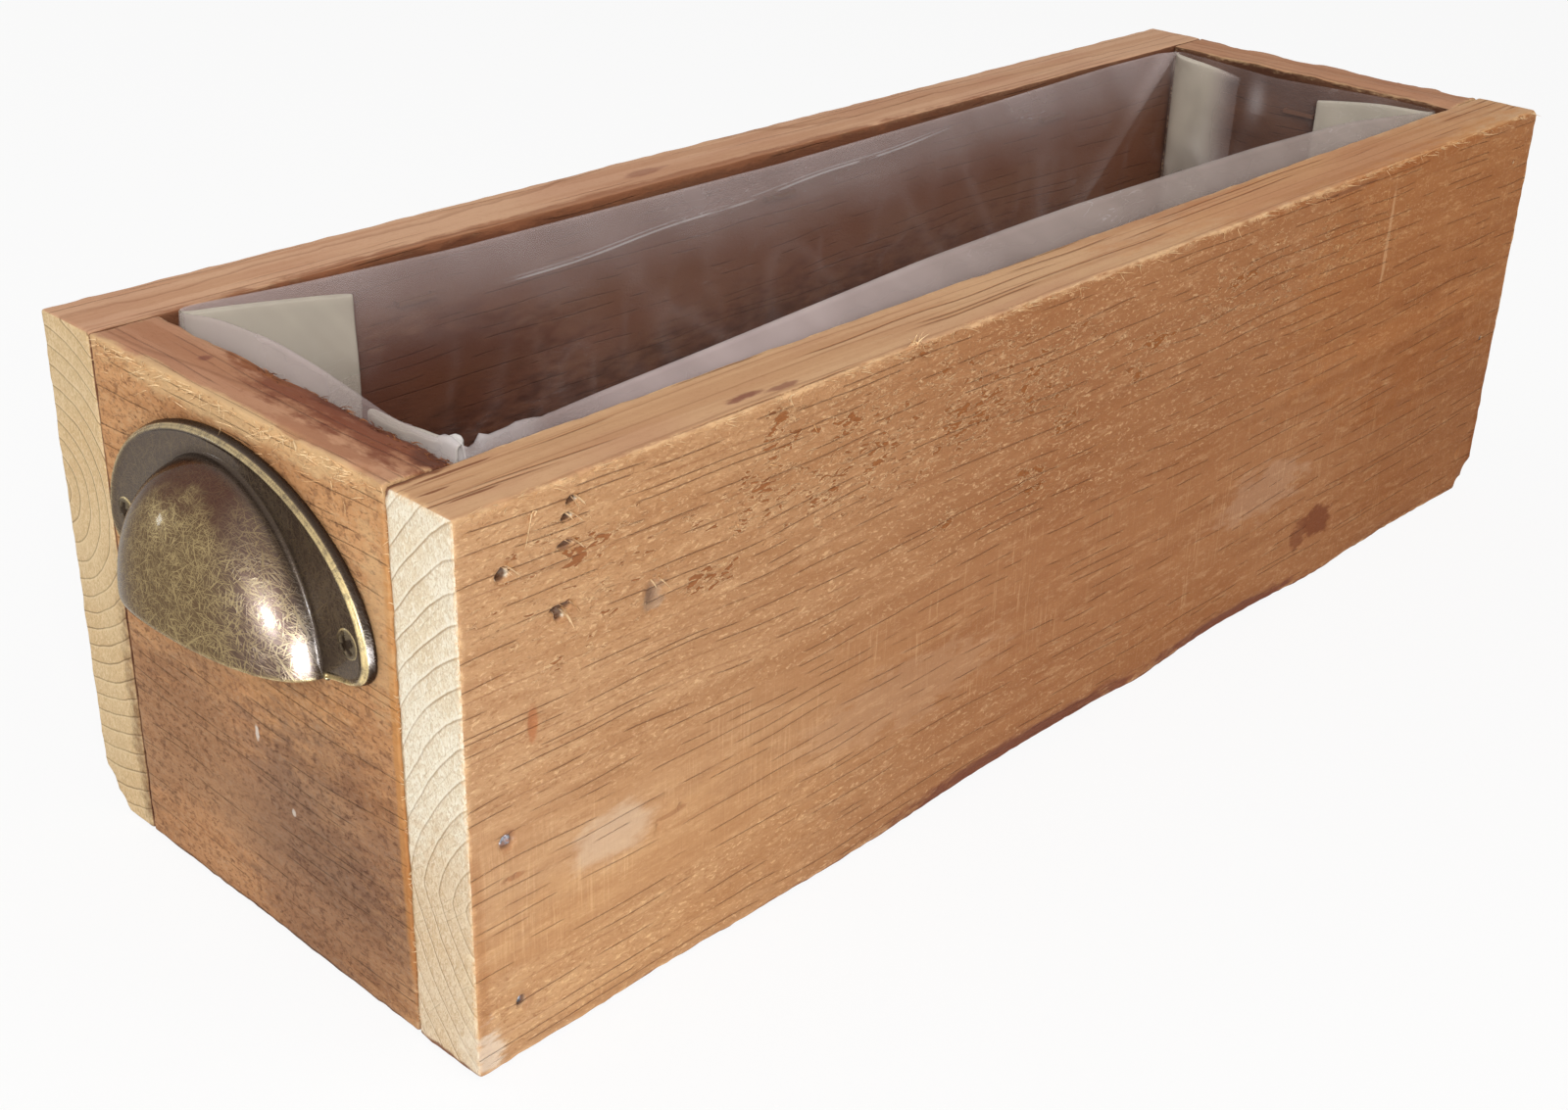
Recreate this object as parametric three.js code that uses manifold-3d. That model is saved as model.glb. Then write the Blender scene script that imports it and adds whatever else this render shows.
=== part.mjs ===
// Reclaimed-timber trough planter: two long side boards that capture two end boards and a base
// board, nailed at the corners, with a film liner stapled inside and a cup pull screwed to each end.
// Millimetres, +Z up, X along the trough. The origin is the middle of the underside.

import * as THREE from 'three';
import { mergeVertices } from 'three/addons/utils/BufferGeometryUtils.js';
import Module from 'manifold-3d';

const wasm = await Module();
wasm.setup();

// Boards
const boxLength = 400;
const boxWidth = 136;
const boxHeight = 120;
const sideBoard = 19;
const endBoard = 16;
const baseBoard = 16;
const arris = 0.8; // eased edge along the grain
const seam = 0.2; // dark line left between boards at each joint
const fit = 0.3; // clearance round every fastener, round the liner and behind the pulls

// Corner nails, driven through the side boards into the end boards
const nailLength = 45;
const nailShank = 2.2;
const nailHead = 4.2;
const nailHeadThickness = 0.9;
const nailPoint = 3;
const nailSet = 0.3; // head below the face of the board
const nailFromBottom = 13;
const nailMiddle = 51;
const nailFromTop = 14;
const nailDrift = [3, 1, 2]; // how far each nail of a corner strays from the middle of the end board

// Base brads, driven through the side boards into the base
const bradLength = 40;
const bradShank = 1.6;
const bradHead = 2.2;
const bradHeadThickness = 1.2;
const bradPoint = 2;
const bradSet = 1.5;
const bradPitch = 120;
const bradsPerSide = 3;

// Film liner, folded over in a loose cuff below the rim
const linerDrop = 4; // rim of the box to the top of the cuff
const film = 0.6;
const cuffDepth = 6;
const cuffDrop = 15;
const cuffSteps = 8;

// Liner staples, hidden inside the cuff
const stapleCrown = 10.6;
const stapleLeg = 8;
const stapleWire = 0.7;
const stapleWireWidth = 1.2;
const stapleBelowCuff = 8;
const staplePitch = 120;
const staplesPerSide = 3;
const staplesPerEnd = 1;

// Cup pull, pressed from sheet: a raised flange with two ears and a hood that opens downwards
const pullDrop = 4.2; // rim of the box to the top of the flange
const flangeHalfWidth = 45.5;
const flangeRise = 33; // top of the flange above the middle of the ears
const earDrop = 8.5; // bottom of the ears below their middle
const earRound = 8;
const flangeDepth = 3.5;
const flangeTaper = 1.5; // how far the front edge of the flange stands in from its foot
const sheet = 1.2;
const hoodHalfWidth = 30.3;
const hoodReach = 16; // hood in front of the flange
const hoodHeight = 34;
const hoodLift = 4; // rise of the lip from its corners to its middle
const hoodSides = 32;
const outlineSteps = 28;
const earSteps = 6;

// Pull screws, countersunk with a cross recess
const screwCentres = 76;
const screwRise = 2.2; // screws above the middle of the ears
const screwLength = 14;
const screwShank = 3;
const screwHead = 6.6;
const screwHeadDepth = 1.9;
const screwPoint = 3;
const recessArm = 3.6;
const recessWidth = 0.9;
const recessDepth = 1.1;

const roundSides = 12; // facets round a nail, brad or screw
const reach = 1; // how far a cutting shape runs past the face it cuts

const innerHalfLength = boxLength / 2 - endBoard;
const innerHalfWidth = boxWidth / 2 - sideBoard;
const linerTop = boxHeight - linerDrop;
const earHeight = boxHeight - pullDrop - flangeRise;
const X = new THREE.Vector3(1, 0, 0);
const Y = new THREE.Vector3(0, 1, 0);
const Z = new THREE.Vector3(0, 0, 1);
const ends = [['left', -1], ['right', 1]];
const sides = [['front', -1], ['rear', 1]];

const frontTimber = new THREE.MeshStandardMaterial({ color: '#b98558', roughness: 0.8, metalness: 0 });
const rearTimber = new THREE.MeshStandardMaterial({ color: '#c0905f', roughness: 0.8, metalness: 0 });
const endTimber = new THREE.MeshStandardMaterial({ color: '#997458', roughness: 0.85, metalness: 0 });
const baseTimber = new THREE.MeshStandardMaterial({ color: '#8a6448', roughness: 0.85, metalness: 0 });
const milkyFilm = new THREE.MeshStandardMaterial({ color: '#cfc8c4', roughness: 0.35, metalness: 0 });
const agedBrass = new THREE.MeshStandardMaterial({ color: '#6e5a3c', roughness: 0.35, metalness: 1 });
const screwBrass = new THREE.MeshStandardMaterial({ color: '#4f4433', roughness: 0.4, metalness: 1 });
const nailSteel = new THREE.MeshStandardMaterial({ color: '#6b6c70', roughness: 0.5, metalness: 1 });
const stapleSteel = new THREE.MeshStandardMaterial({ color: '#b4b6b8', roughness: 0.35, metalness: 1 });

// A closed geometry becomes a solid that can be joined and cut, and a solid becomes a geometry.
function solid(geometry) {
  const bare = geometry.clone();
  bare.deleteAttribute('normal');
  bare.deleteAttribute('uv');
  const merged = mergeVertices(bare);
  return new wasm.Manifold(new wasm.Mesh({
    numProp: 3,
    vertProperties: new Float32Array(merged.attributes.position.array),
    triVerts: new Uint32Array(merged.index.array),
  }));
}

function geometryOf(body) {
  const mesh = body.getMesh();
  const geometry = new THREE.BufferGeometry();
  geometry.setAttribute('position', new THREE.BufferAttribute(mesh.vertProperties, 3));
  geometry.setIndex(new THREE.BufferAttribute(mesh.triVerts, 1));
  geometry.computeVertexNormals();
  return geometry;
}

function cut(geometry, tools) {
  const body = tools.reduce((rest, tool) => rest.subtract(solid(tool)), solid(geometry));
  return geometryOf(body);
}

function block(sizeX, sizeY, sizeZ, x, y, z) {
  return new THREE.BoxGeometry(sizeX, sizeY, sizeZ).translate(x, y, z);
}

function faceted(points, faces) {
  const geometry = new THREE.BufferGeometry();
  geometry.setAttribute('position', new THREE.Float32BufferAttribute(points, 3));
  geometry.setIndex(faces);
  return geometry;
}

// A board with eased long edges. Its section lies across two axes and its grain runs along a third.
function plank(across, up, along, width, height, length) {
  const [w, h] = [width / 2, height / 2];
  const section = new THREE.Shape([
    new THREE.Vector2(-w + arris, -h), new THREE.Vector2(w - arris, -h),
    new THREE.Vector2(w, -h + arris), new THREE.Vector2(w, h - arris),
    new THREE.Vector2(w - arris, h), new THREE.Vector2(-w + arris, h),
    new THREE.Vector2(-w, h - arris), new THREE.Vector2(-w, -h + arris),
  ]);
  const geometry = new THREE.ExtrudeGeometry(section, { depth: length, bevelEnabled: false });
  geometry.translate(0, 0, -length / 2);
  return geometry.applyMatrix4(new THREE.Matrix4().makeBasis(across, up, along));
}

// A round fastener along Y, with the top of its head at 0 and its point below. Given room, the same
// form is the hole that takes it, run out past the face that the head is sunk under.
function fastener({ length, shank, head, neck, point, sunk, countersunk }, room = 0) {
  const shankRadius = shank / 2 + room;
  const headRadius = head / 2 + room;
  const underHead = countersunk ? -neck : -neck - room;
  const profile = [
    new THREE.Vector2(0, -length - room),
    new THREE.Vector2(shankRadius, -length + point),
    new THREE.Vector2(shankRadius, underHead),
  ];
  if (!countersunk) {
    profile.push(new THREE.Vector2(headRadius, underHead));
  }
  profile.push(new THREE.Vector2(headRadius, 0));
  const top = room ? sunk + reach : 0;
  if (room) {
    profile.push(new THREE.Vector2(headRadius, top));
  }
  profile.push(new THREE.Vector2(0, top));
  return new THREE.LatheGeometry(profile, roundSides);
}

const nailForm = {
  length: nailLength,
  shank: nailShank,
  head: nailHead,
  neck: nailHeadThickness,
  point: nailPoint,
  sunk: nailSet,
};
const bradForm = {
  length: bradLength,
  shank: bradShank,
  head: bradHead,
  neck: bradHeadThickness,
  point: bradPoint,
  sunk: bradSet,
};
const screwForm = {
  length: screwLength,
  shank: screwShank,
  head: screwHead,
  neck: screwHeadDepth,
  point: screwPoint,
  sunk: 0,
  countersunk: true,
};

// Each nail and brad is a mesh with its head outwards, so one driven from the front is turned over.
function pinMesh(name, form, material, sideSign, x, z) {
  const pin = new THREE.Mesh(fastener(form), material);
  pin.name = name;
  pin.position.set(x, sideSign * (boxWidth / 2 - form.sunk), z);
  pin.rotation.x = sideSign < 0 ? Math.PI : 0;
  pin.updateMatrix();
  return pin;
}

const nailHeights = [['low', nailFromBottom], ['middle', nailMiddle], ['top', boxHeight - nailFromTop]];
const nails = [];
for (const [end, endSign] of ends) {
  for (const [side, sideSign] of sides) {
    nailHeights.forEach(([level, height], i) => {
      const x = endSign * (boxLength / 2 - endBoard / 2 - nailDrift[i]);
      const name = `${side}_${end}_nail_${level}`;
      nails.push({ end, side, mesh: pinMesh(name, nailForm, nailSteel, sideSign, x, height) });
    });
  }
}

const brads = [];
for (const [side, sideSign] of sides) {
  for (let i = 0; i < bradsPerSide; i += 1) {
    const x = (i - (bradsPerSide - 1) / 2) * bradPitch;
    const name = `${side}_base_brad_${i + 1}`;
    brads.push({ side, mesh: pinMesh(name, bradForm, nailSteel, sideSign, x, baseBoard / 2) });
  }
}

const nailHole = ({ mesh }) => fastener(nailForm, fit).applyMatrix4(mesh.matrix);
const bradHole = ({ mesh }) => fastener(bradForm, fit).applyMatrix4(mesh.matrix);

// Staples stand on the inner faces of the boards. A wall's group turns its staples to face it, so
// each is drawn with its legs along -Y.
function stapleGeometry() {
  const half = stapleCrown / 2;
  const outline = new THREE.Shape([
    new THREE.Vector2(-half, -stapleLeg), new THREE.Vector2(-half + stapleWire, -stapleLeg),
    new THREE.Vector2(-half + stapleWire, 0), new THREE.Vector2(half - stapleWire, 0),
    new THREE.Vector2(half - stapleWire, -stapleLeg), new THREE.Vector2(half, -stapleLeg),
    new THREE.Vector2(half, stapleWire), new THREE.Vector2(-half, stapleWire),
  ]);
  const geometry = new THREE.ExtrudeGeometry(outline, { depth: stapleWireWidth, bevelEnabled: false });
  return geometry.translate(0, 0, -stapleWireWidth / 2);
}

const crownStandoff = fit + film + fit; // face of the board to the crown, over the film
const stapleRows = {};
function stapleRow(wall, turn, wallDistance, count) {
  const row = new THREE.Group();
  row.rotation.z = turn;
  for (let i = 0; i < count; i += 1) {
    const one = new THREE.Mesh(stapleGeometry(), stapleSteel);
    one.name = `${wall}_liner_staple_${i + 1}`;
    const along = (i - (count - 1) / 2) * staplePitch;
    one.position.set(along, crownStandoff - wallDistance, linerTop - stapleBelowCuff);
    row.add(one);
  }
  row.updateMatrixWorld(true);
  stapleRows[wall] = row;
}
stapleRow('front', 0, innerHalfWidth, staplesPerSide);
stapleRow('rear', Math.PI, innerHalfWidth, staplesPerSide);
stapleRow('left', -Math.PI / 2, innerHalfLength, staplesPerEnd);
stapleRow('right', Math.PI / 2, innerHalfLength, staplesPerEnd);

// The two slots that a staple's legs make in the film and in the board behind it
function legSlots(wall) {
  const depth = stapleLeg + fit;
  const x = (stapleCrown - stapleWire) / 2;
  return stapleRows[wall].children.flatMap((one) => [-x, x].map((legX) => {
    const slot = block(stapleWire + 2 * fit, depth, stapleWireWidth + 2 * fit, legX, -depth / 2, 0);
    return slot.applyMatrix4(one.matrixWorld);
  }));
}

// Pull screws, drawn like the pull on the face of their end board: across in X, outwards in Y
function screwGeometry() {
  const arms = [[recessArm, recessWidth], [recessWidth, recessArm]];
  const recess = arms.map(([x, z]) => block(x, 2 * recessDepth, z, 0, 0, 0));
  return cut(fastener(screwForm), recess);
}

// Outline of the flange, drawn in by the same amount all round: a rounded ear, the arch over the
// top and the other ear, closed by the straight bottom edge
function flangeOutline(inset) {
  const width = flangeHalfWidth - inset;
  const corner = earRound - inset;
  const points = [];
  const arc = (middle, across, up, from, to, steps, first) => {
    for (let i = first; i <= steps; i += 1) {
      const angle = from + (to - from) * i / steps;
      points.push(new THREE.Vector2(middle + across * Math.cos(angle), up * Math.sin(angle)));
    }
  };
  arc(width - corner, corner, earDrop - inset, -Math.PI / 2, 0, earSteps, 0);
  arc(0, width, flangeRise - inset, 0, Math.PI, outlineSteps, 1);
  arc(corner - width, corner, earDrop - inset, Math.PI, 1.5 * Math.PI, earSteps, 1);
  return points;
}

// A slab of the flange from a back outline to a front one
function flangeSlab(backInset, back, frontInset, front) {
  const outline = flangeOutline(backInset);
  const count = outline.length;
  const points = outline.flatMap((point) => [point.x, back, point.y]);
  points.push(...flangeOutline(frontInset).flatMap((point) => [point.x, front, point.y]));
  const faces = [];
  for (let i = 0; i < count; i += 1) {
    const next = (i + 1) % count;
    faces.push(i, count + next, next, i, count + i, count + next);
  }
  for (const [a, b, c] of THREE.ShapeUtils.triangulateShape(outline, [])) {
    faces.push(a, b, c, count + a, count + c, count + b);
  }
  return faceted(points, faces);
}

// A hood is part of an ellipsoid, drawn in by an amount, with its lip lifted towards the middle.
// The half above its lip is the hood itself, and the whole is the hollow that fingers go into.
function hood(inset, aboveLip) {
  const ball = new THREE.SphereGeometry(1, hoodSides, hoodSides / 2).rotateZ(Math.PI / 2);
  ball.scale(hoodHalfWidth - inset, hoodReach - inset, hoodHeight - inset);
  const room = 2 * (hoodHalfWidth + hoodReach + hoodHeight);
  const front = block(room, room, room, 0, room / 2 - sheet, aboveLip ? room / 2 : 0);
  const geometry = geometryOf(solid(ball).intersect(solid(front)));
  const place = geometry.attributes.position;
  for (let i = 0; i < place.count; i += 1) {
    const lift = hoodLift * Math.max(place.getY(i), 0) / hoodReach;
    place.setZ(i, place.getZ(i) + lift);
  }
  return geometry.translate(0, flangeDepth, -earDrop);
}

// The way from the hood back to the board, as wide as the hollow of the hood
function hoodBack() {
  const length = flangeDepth + 2 * reach;
  const tunnel = new THREE.CylinderGeometry(1, 1, length, hoodSides);
  tunnel.scale(hoodHalfWidth - sheet, 1, hoodHeight - sheet);
  return tunnel.translate(0, length / 2 - 2 * reach, -earDrop);
}

const screwAcross = screwCentres / 2;
const screwPlaces = [-1, 1].map((sign) => new THREE.Vector3(sign * screwAcross, flangeDepth, screwRise));

function pullGeometry() {
  const frontInset = flangeTaper + sheet;
  const pocket = flangeSlab(sheet, -reach, frontInset, flangeDepth - sheet);
  const shell = solid(flangeSlab(0, 0, flangeTaper, flangeDepth)).add(solid(hood(0, true)));
  const holes = screwPlaces.map((place) => fastener(screwForm, fit).translate(place.x, place.y, place.z));
  return cut(geometryOf(shell), [pocket, hood(sheet, false), hoodBack(), ...holes]);
}

// Each pull and its screws are a group that faces out of its end of the trough.
const pulls = {};
for (const [end, endSign] of ends) {
  const group = new THREE.Group();
  group.position.set(endSign * (boxLength / 2 + fit), 0, earHeight);
  group.rotation.z = -endSign * Math.PI / 2;
  const pull = new THREE.Mesh(pullGeometry(), agedBrass);
  pull.name = `${end}_cup_pull`;
  group.add(pull);
  screwPlaces.forEach((place) => {
    const screw = new THREE.Mesh(screwGeometry(), screwBrass);
    const side = place.x * endSign > 0 ? 'front' : 'rear';
    screw.name = `${end}_pull_screw_${side}`;
    screw.position.copy(place);
    group.add(screw);
  });
  group.updateMatrixWorld(true);
  pulls[end] = group;
}

function screwHoles(end) {
  const screws = pulls[end].children.slice(1);
  return screws.map((screw) => fastener(screwForm, fit).applyMatrix4(screw.matrixWorld));
}

// The long boards run the whole length and cover the ends of the short ones.
function sideBoardMesh(side, sideSign, material) {
  const geometry = plank(Y, Z, X, sideBoard, boxHeight, boxLength);
  geometry.translate(0, sideSign * (boxWidth - sideBoard) / 2, boxHeight / 2);
  const holes = nails.filter((pin) => pin.side === side).map(nailHole);
  holes.push(...brads.filter((pin) => pin.side === side).map(bradHole));
  const mesh = new THREE.Mesh(cut(geometry, [...holes, ...legSlots(side)]), material);
  mesh.name = `${side}_side_board`;
  return mesh;
}

// The short boards stand between the side boards, with their grain across the trough.
function endBoardMesh(end, endSign) {
  const geometry = plank(Z, X, Y, boxHeight, endBoard, 2 * (innerHalfWidth - seam));
  geometry.translate(endSign * (boxLength - endBoard) / 2, 0, boxHeight / 2);
  const holes = nails.filter((pin) => pin.end === end).map(nailHole);
  const mesh = new THREE.Mesh(cut(geometry, [...holes, ...screwHoles(end), ...legSlots(end)]), endTimber);
  mesh.name = `${end}_end_board`;
  return mesh;
}

function baseBoardMesh() {
  const width = 2 * (innerHalfWidth - seam);
  const geometry = plank(Y, Z, X, width, baseBoard, 2 * (innerHalfLength - seam));
  geometry.translate(0, 0, baseBoard / 2);
  const mesh = new THREE.Mesh(cut(geometry, brads.map(bradHole)), baseTimber);
  mesh.name = 'base_board';
  return mesh;
}

// The liner is one tray of film. Its wall rises, turns over in a round fold and hangs down again as
// a cuff. A point of its profile is how far in it lies from the outer face, and its height.
function linerMesh() {
  const halfLength = innerHalfLength - fit;
  const halfWidth = innerHalfWidth - fit;
  const floor = baseBoard + fit;
  const fold = cuffDepth / 2;
  const foldPoint = (radius, angle) => [
    fold - radius * Math.cos(angle),
    linerTop - fold + radius * Math.sin(angle),
  ];
  const profile = [[0, floor]];
  for (let i = 0; i <= cuffSteps; i += 1) {
    profile.push(foldPoint(fold, Math.PI * i / cuffSteps));
  }
  profile.push([cuffDepth, linerTop - cuffDrop], [cuffDepth - film, linerTop - cuffDrop]);
  for (let i = cuffSteps; i >= 0; i -= 1) {
    profile.push(foldPoint(fold - film, Math.PI * i / cuffSteps));
  }
  profile.push([film, floor + film]);

  const corners = [[-1, -1], [1, -1], [1, 1], [-1, 1]];
  const points = profile.flatMap(([inset, height]) => corners.flatMap(([signX, signY]) => [
    signX * (halfLength - inset), signY * (halfWidth - inset), height,
  ]));
  const faces = [0, 2, 1, 0, 3, 2];
  for (let ring = 0; ring < profile.length - 1; ring += 1) {
    for (let side = 0; side < corners.length; side += 1) {
      const a = corners.length * ring + side;
      const b = corners.length * ring + (side + 1) % corners.length;
      faces.push(a, b, b + corners.length, a, b + corners.length, a + corners.length);
    }
  }
  const last = corners.length * (profile.length - 1);
  faces.push(last, last + 1, last + 2, last, last + 2, last + 3);
  const slots = Object.keys(stapleRows).flatMap(legSlots);
  const mesh = new THREE.Mesh(cut(faceted(points, faces), slots), milkyFilm);
  mesh.name = 'liner';
  return mesh;
}

const planter = new THREE.Group();
planter.add(sideBoardMesh('front', -1, frontTimber));
planter.add(sideBoardMesh('rear', 1, rearTimber));
for (const [end, endSign] of ends) {
  planter.add(endBoardMesh(end, endSign));
}
planter.add(baseBoardMesh());
planter.add(linerMesh());
planter.add(...nails.map((pin) => pin.mesh), ...brads.map((pin) => pin.mesh));
planter.add(...Object.values(stapleRows));
planter.add(...Object.values(pulls));

export default planter;
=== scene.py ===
# %% [markdown]
# Timber trough planter
#
# A short trough of four reclaimed boards. A milky film lines it, and a hooded brass pull is screwed to
# each end. The packed CAD model is the fixed frame: it says where every piece is and how big it is. This
# lesson dresses that frame with worn timber, folded film and rubbed brass, one kind of piece at a time.

# %% Load the frame
import math

import bmesh
import bpy
import numpy as np
from mathutils import Matrix, Vector
from mathutils.kdtree import KDTree


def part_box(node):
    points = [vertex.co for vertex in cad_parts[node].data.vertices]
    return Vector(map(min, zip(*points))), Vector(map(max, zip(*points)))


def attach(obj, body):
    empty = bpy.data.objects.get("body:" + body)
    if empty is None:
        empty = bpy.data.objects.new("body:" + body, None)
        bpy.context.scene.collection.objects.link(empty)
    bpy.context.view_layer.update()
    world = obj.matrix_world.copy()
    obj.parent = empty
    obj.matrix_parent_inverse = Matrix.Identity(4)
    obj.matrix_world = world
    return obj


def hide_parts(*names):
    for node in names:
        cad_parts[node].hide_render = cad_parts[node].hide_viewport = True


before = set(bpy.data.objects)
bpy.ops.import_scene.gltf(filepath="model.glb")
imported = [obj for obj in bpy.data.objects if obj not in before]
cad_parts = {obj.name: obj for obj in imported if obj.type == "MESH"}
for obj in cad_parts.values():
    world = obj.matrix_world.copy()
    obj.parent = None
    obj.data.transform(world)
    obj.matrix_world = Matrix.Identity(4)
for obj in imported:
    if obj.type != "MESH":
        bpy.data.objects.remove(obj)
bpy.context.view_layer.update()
MM = 0.001

# %% [markdown]
# The camera stands where the photograph was taken from: left of the near end, a little above the rim. Its
# three turns are given as angles, because a picture gives those directly: round the vertical, down from
# the horizon, and a slight roll of the hand that held the camera.

# %% Camera
CAMERA_PLACE = Vector((-0.3861, -0.3163, 0.2719))
CAMERA_AZIMUTH = math.radians(-47.117)
CAMERA_DOWN = math.radians(27.091)
CAMERA_ROLL = math.radians(1.809)
LENS_MM = 47.173
SENSOR_MM = 36.0

camera_data = bpy.data.cameras.new("Camera")
camera_data.lens = LENS_MM
camera_data.sensor_width = SENSOR_MM
camera_data.clip_start = 0.01
camera = bpy.data.objects.new("Camera", camera_data)
bpy.context.scene.collection.objects.link(camera)
camera_turn = (
    Matrix.Rotation(CAMERA_AZIMUTH, 4, "Z")
    @ Matrix.Rotation(math.pi / 2 - CAMERA_DOWN, 4, "X")
    @ Matrix.Rotation(CAMERA_ROLL, 4, "Z")
)
camera.matrix_world = Matrix.Translation(CAMERA_PLACE) @ camera_turn
bpy.context.scene.camera = camera
print("camera looks along", [round(c, 3) for c in camera_turn.to_3x3() @ Vector((0, 0, -1))])

# %% [markdown]
# Node trees grow long when every node takes three lines. This small helper adds a node, joins what it is
# given and hands back the output, so that a material reads like a recipe. Colours and positions stay
# ordinary values.


# %% A short way to write node trees
class Nodes:
    """Adds nodes to a tree. Each call returns the output socket of the node that it made."""

    def __init__(self, tree):
        self.tree = tree

    def feed(self, socket, value):
        if isinstance(value, bpy.types.NodeSocket):
            self.tree.links.new(value, socket)
        elif value is not None:
            socket.default_value = value

    def node(self, kind, inputs=(), **settings):
        made = self.tree.nodes.new(kind)
        for key, value in settings.items():
            setattr(made, key, value)
        for key, value in dict(inputs).items():
            self.feed(made.inputs[key], value)
        return made

    def math(self, operation, a, b=None, clamp=False):
        return self.node("ShaderNodeMath", {0: a, 1: b}, operation=operation, use_clamp=clamp).outputs[0]

    def vector(self, operation, a, b=None):
        made = self.node("ShaderNodeVectorMath", {0: a, 1: b}, operation=operation)
        return made.outputs["Value" if operation == "LENGTH" else "Vector"]

    def scaled(self, where, scale, turn=(0, 0, 0), shift=(0, 0, 0)):
        made = self.node("ShaderNodeMapping", {"Vector": where})
        made.inputs["Scale"].default_value = scale
        made.inputs["Rotation"].default_value = [math.radians(t) for t in turn]
        made.inputs["Location"].default_value = shift
        return made.outputs[0]

    def noise(self, where, scale=1.0, detail=2.0, rough=0.5, bend=0.0):
        inputs = {"Vector": where, "Scale": scale, "Detail": detail, "Roughness": rough, "Distortion": bend}
        return self.node("ShaderNodeTexNoise", inputs).outputs[0]

    def band(self, value, low, high, start=0.0, end=1.0):
        inputs = {"Value": value, "From Min": low, "From Max": high, "To Min": start, "To Max": end}
        return self.node("ShaderNodeMapRange", inputs, interpolation_type="SMOOTHSTEP").outputs[0]

    def mix(self, amount, a, b, blend="MIX"):
        made = self.node("ShaderNodeMix", data_type="RGBA", blend_type=blend)
        self.feed(made.inputs[0], amount)
        self.feed(made.inputs[6], a if isinstance(a, bpy.types.NodeSocket) else (*a, 1))
        self.feed(made.inputs[7], b if isinstance(b, bpy.types.NodeSocket) else (*b, 1))
        return made.outputs[2]

    def parts(self, where):
        return self.node("ShaderNodeSeparateXYZ", {0: where}).outputs

    def joined(self, x, y, z):
        return self.node("ShaderNodeCombineXYZ", {0: x, 1: y, 2: z}).outputs[0]

    def bump(self, height, strength, distance):
        inputs = {"Height": height, "Strength": strength, "Distance": distance}
        return self.node("ShaderNodeBump", inputs).outputs[0]

    def stored(self, name):
        return self.node("ShaderNodeAttribute", attribute_name=name).outputs["Fac"]

    def placed(self, group, **inputs):
        made = self.node("ShaderNodeGroup", node_tree=group)
        for key, value in inputs.items():
            self.feed(made.inputs[key], value)
        return made.outputs


SOCKETS = {"value": "NodeSocketFloat", "vector": "NodeSocketVector"}


def new_group(name, inputs, outputs):
    """An empty node group: inputs are (label, kind, default) and outputs are (label, kind)."""
    tree = bpy.data.node_groups.new(name, "ShaderNodeTree")
    for label, kind, default in inputs:
        socket = tree.interface.new_socket(label, in_out="INPUT", socket_type=SOCKETS[kind])
        if default is not None:
            socket.default_value = default
    for label, kind in outputs:
        tree.interface.new_socket(label, in_out="OUTPUT", socket_type=SOCKETS[kind])
    nodes = Nodes(tree)
    given = nodes.node("NodeGroupInput").outputs
    result = nodes.node("NodeGroupOutput").inputs
    return tree, nodes, given, result


def new_material(name, roughness=0.5):
    """A material with one Principled shader. Returns the material, its nodes and the shader's inputs."""
    material = bpy.data.materials.new(name)
    material.use_nodes = True
    material.node_tree.nodes.clear()
    nodes = Nodes(material.node_tree)
    shader = nodes.node("ShaderNodeBsdfPrincipled")
    shader.inputs["Roughness"].default_value = roughness
    nodes.node("ShaderNodeOutputMaterial", {"Surface": shader.outputs[0]})
    return material, nodes, shader.inputs


def place_in_mm(nodes):
    """The surface point in millimetres, in the frame's own axes."""
    where = nodes.node("ShaderNodeTexCoord").outputs["Object"]
    return nodes.scaled(where, (1 / MM, 1 / MM, 1 / MM))


print("node helper ready:", [name for name in vars(Nodes) if not name.startswith("_")])

# %% [markdown]
# The trough stands on a wide pale floor under soft studio light. A big lamp stands left in front, as the
# daylight did, so the near end is brightest and the long board darkens away from it; the long board's
# colour is also painted darker away from the near end, a painted shade for the same falloff. The floor is
# lifted part of the way to white for the camera and for mirrored rays, so that the trough still throws a
# soft shadow on it. The brass mirrors the same white room. Four more lamps show only in reflections: they
# give the brass its highlights and leave the colours of the timber and the film nearly as they are.

# %% Floor, world and lamps
FLOOR_SIZE = 12.0
FLOOR_COLOUR = (0.86, 0.855, 0.845)
FLOOR_DROP = 0.4 * MM
FLOOR_LIFT = 0.88
WORLD_LIGHT = 0.29


def sees_white(nodes):
    """1 for camera, mirrored and transmitted rays, which all see plain white surroundings."""
    path = nodes.node("ShaderNodeLightPath").outputs
    seen = nodes.math("ADD", path["Is Camera Ray"], path["Is Glossy Ray"])
    return nodes.math("ADD", seen, path["Is Transmission Ray"], clamp=True)


def floor_material():
    material, nodes, shader = new_material("pale floor", roughness=0.9)
    where = nodes.node("ShaderNodeTexCoord").outputs["Object"]
    cloud = nodes.noise(where, scale=1.3, detail=1)
    nodes.feed(shader["Base Color"], nodes.mix(cloud, FLOOR_COLOUR, [c * 0.985 for c in FLOOR_COLOUR]))
    glow = nodes.node("ShaderNodeEmission", {"Strength": 1.0})
    lift = nodes.math("MULTIPLY", sees_white(nodes), FLOOR_LIFT)
    both = nodes.node("ShaderNodeMixShader", {0: lift, 2: glow.outputs[0]})
    principled = next(n for n in nodes.tree.nodes if n.type == "BSDF_PRINCIPLED")
    output = next(n for n in nodes.tree.nodes if n.type == "OUTPUT_MATERIAL")
    nodes.feed(both.inputs[1], principled.outputs[0])
    nodes.feed(output.inputs["Surface"], both.outputs[0])
    return material


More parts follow.
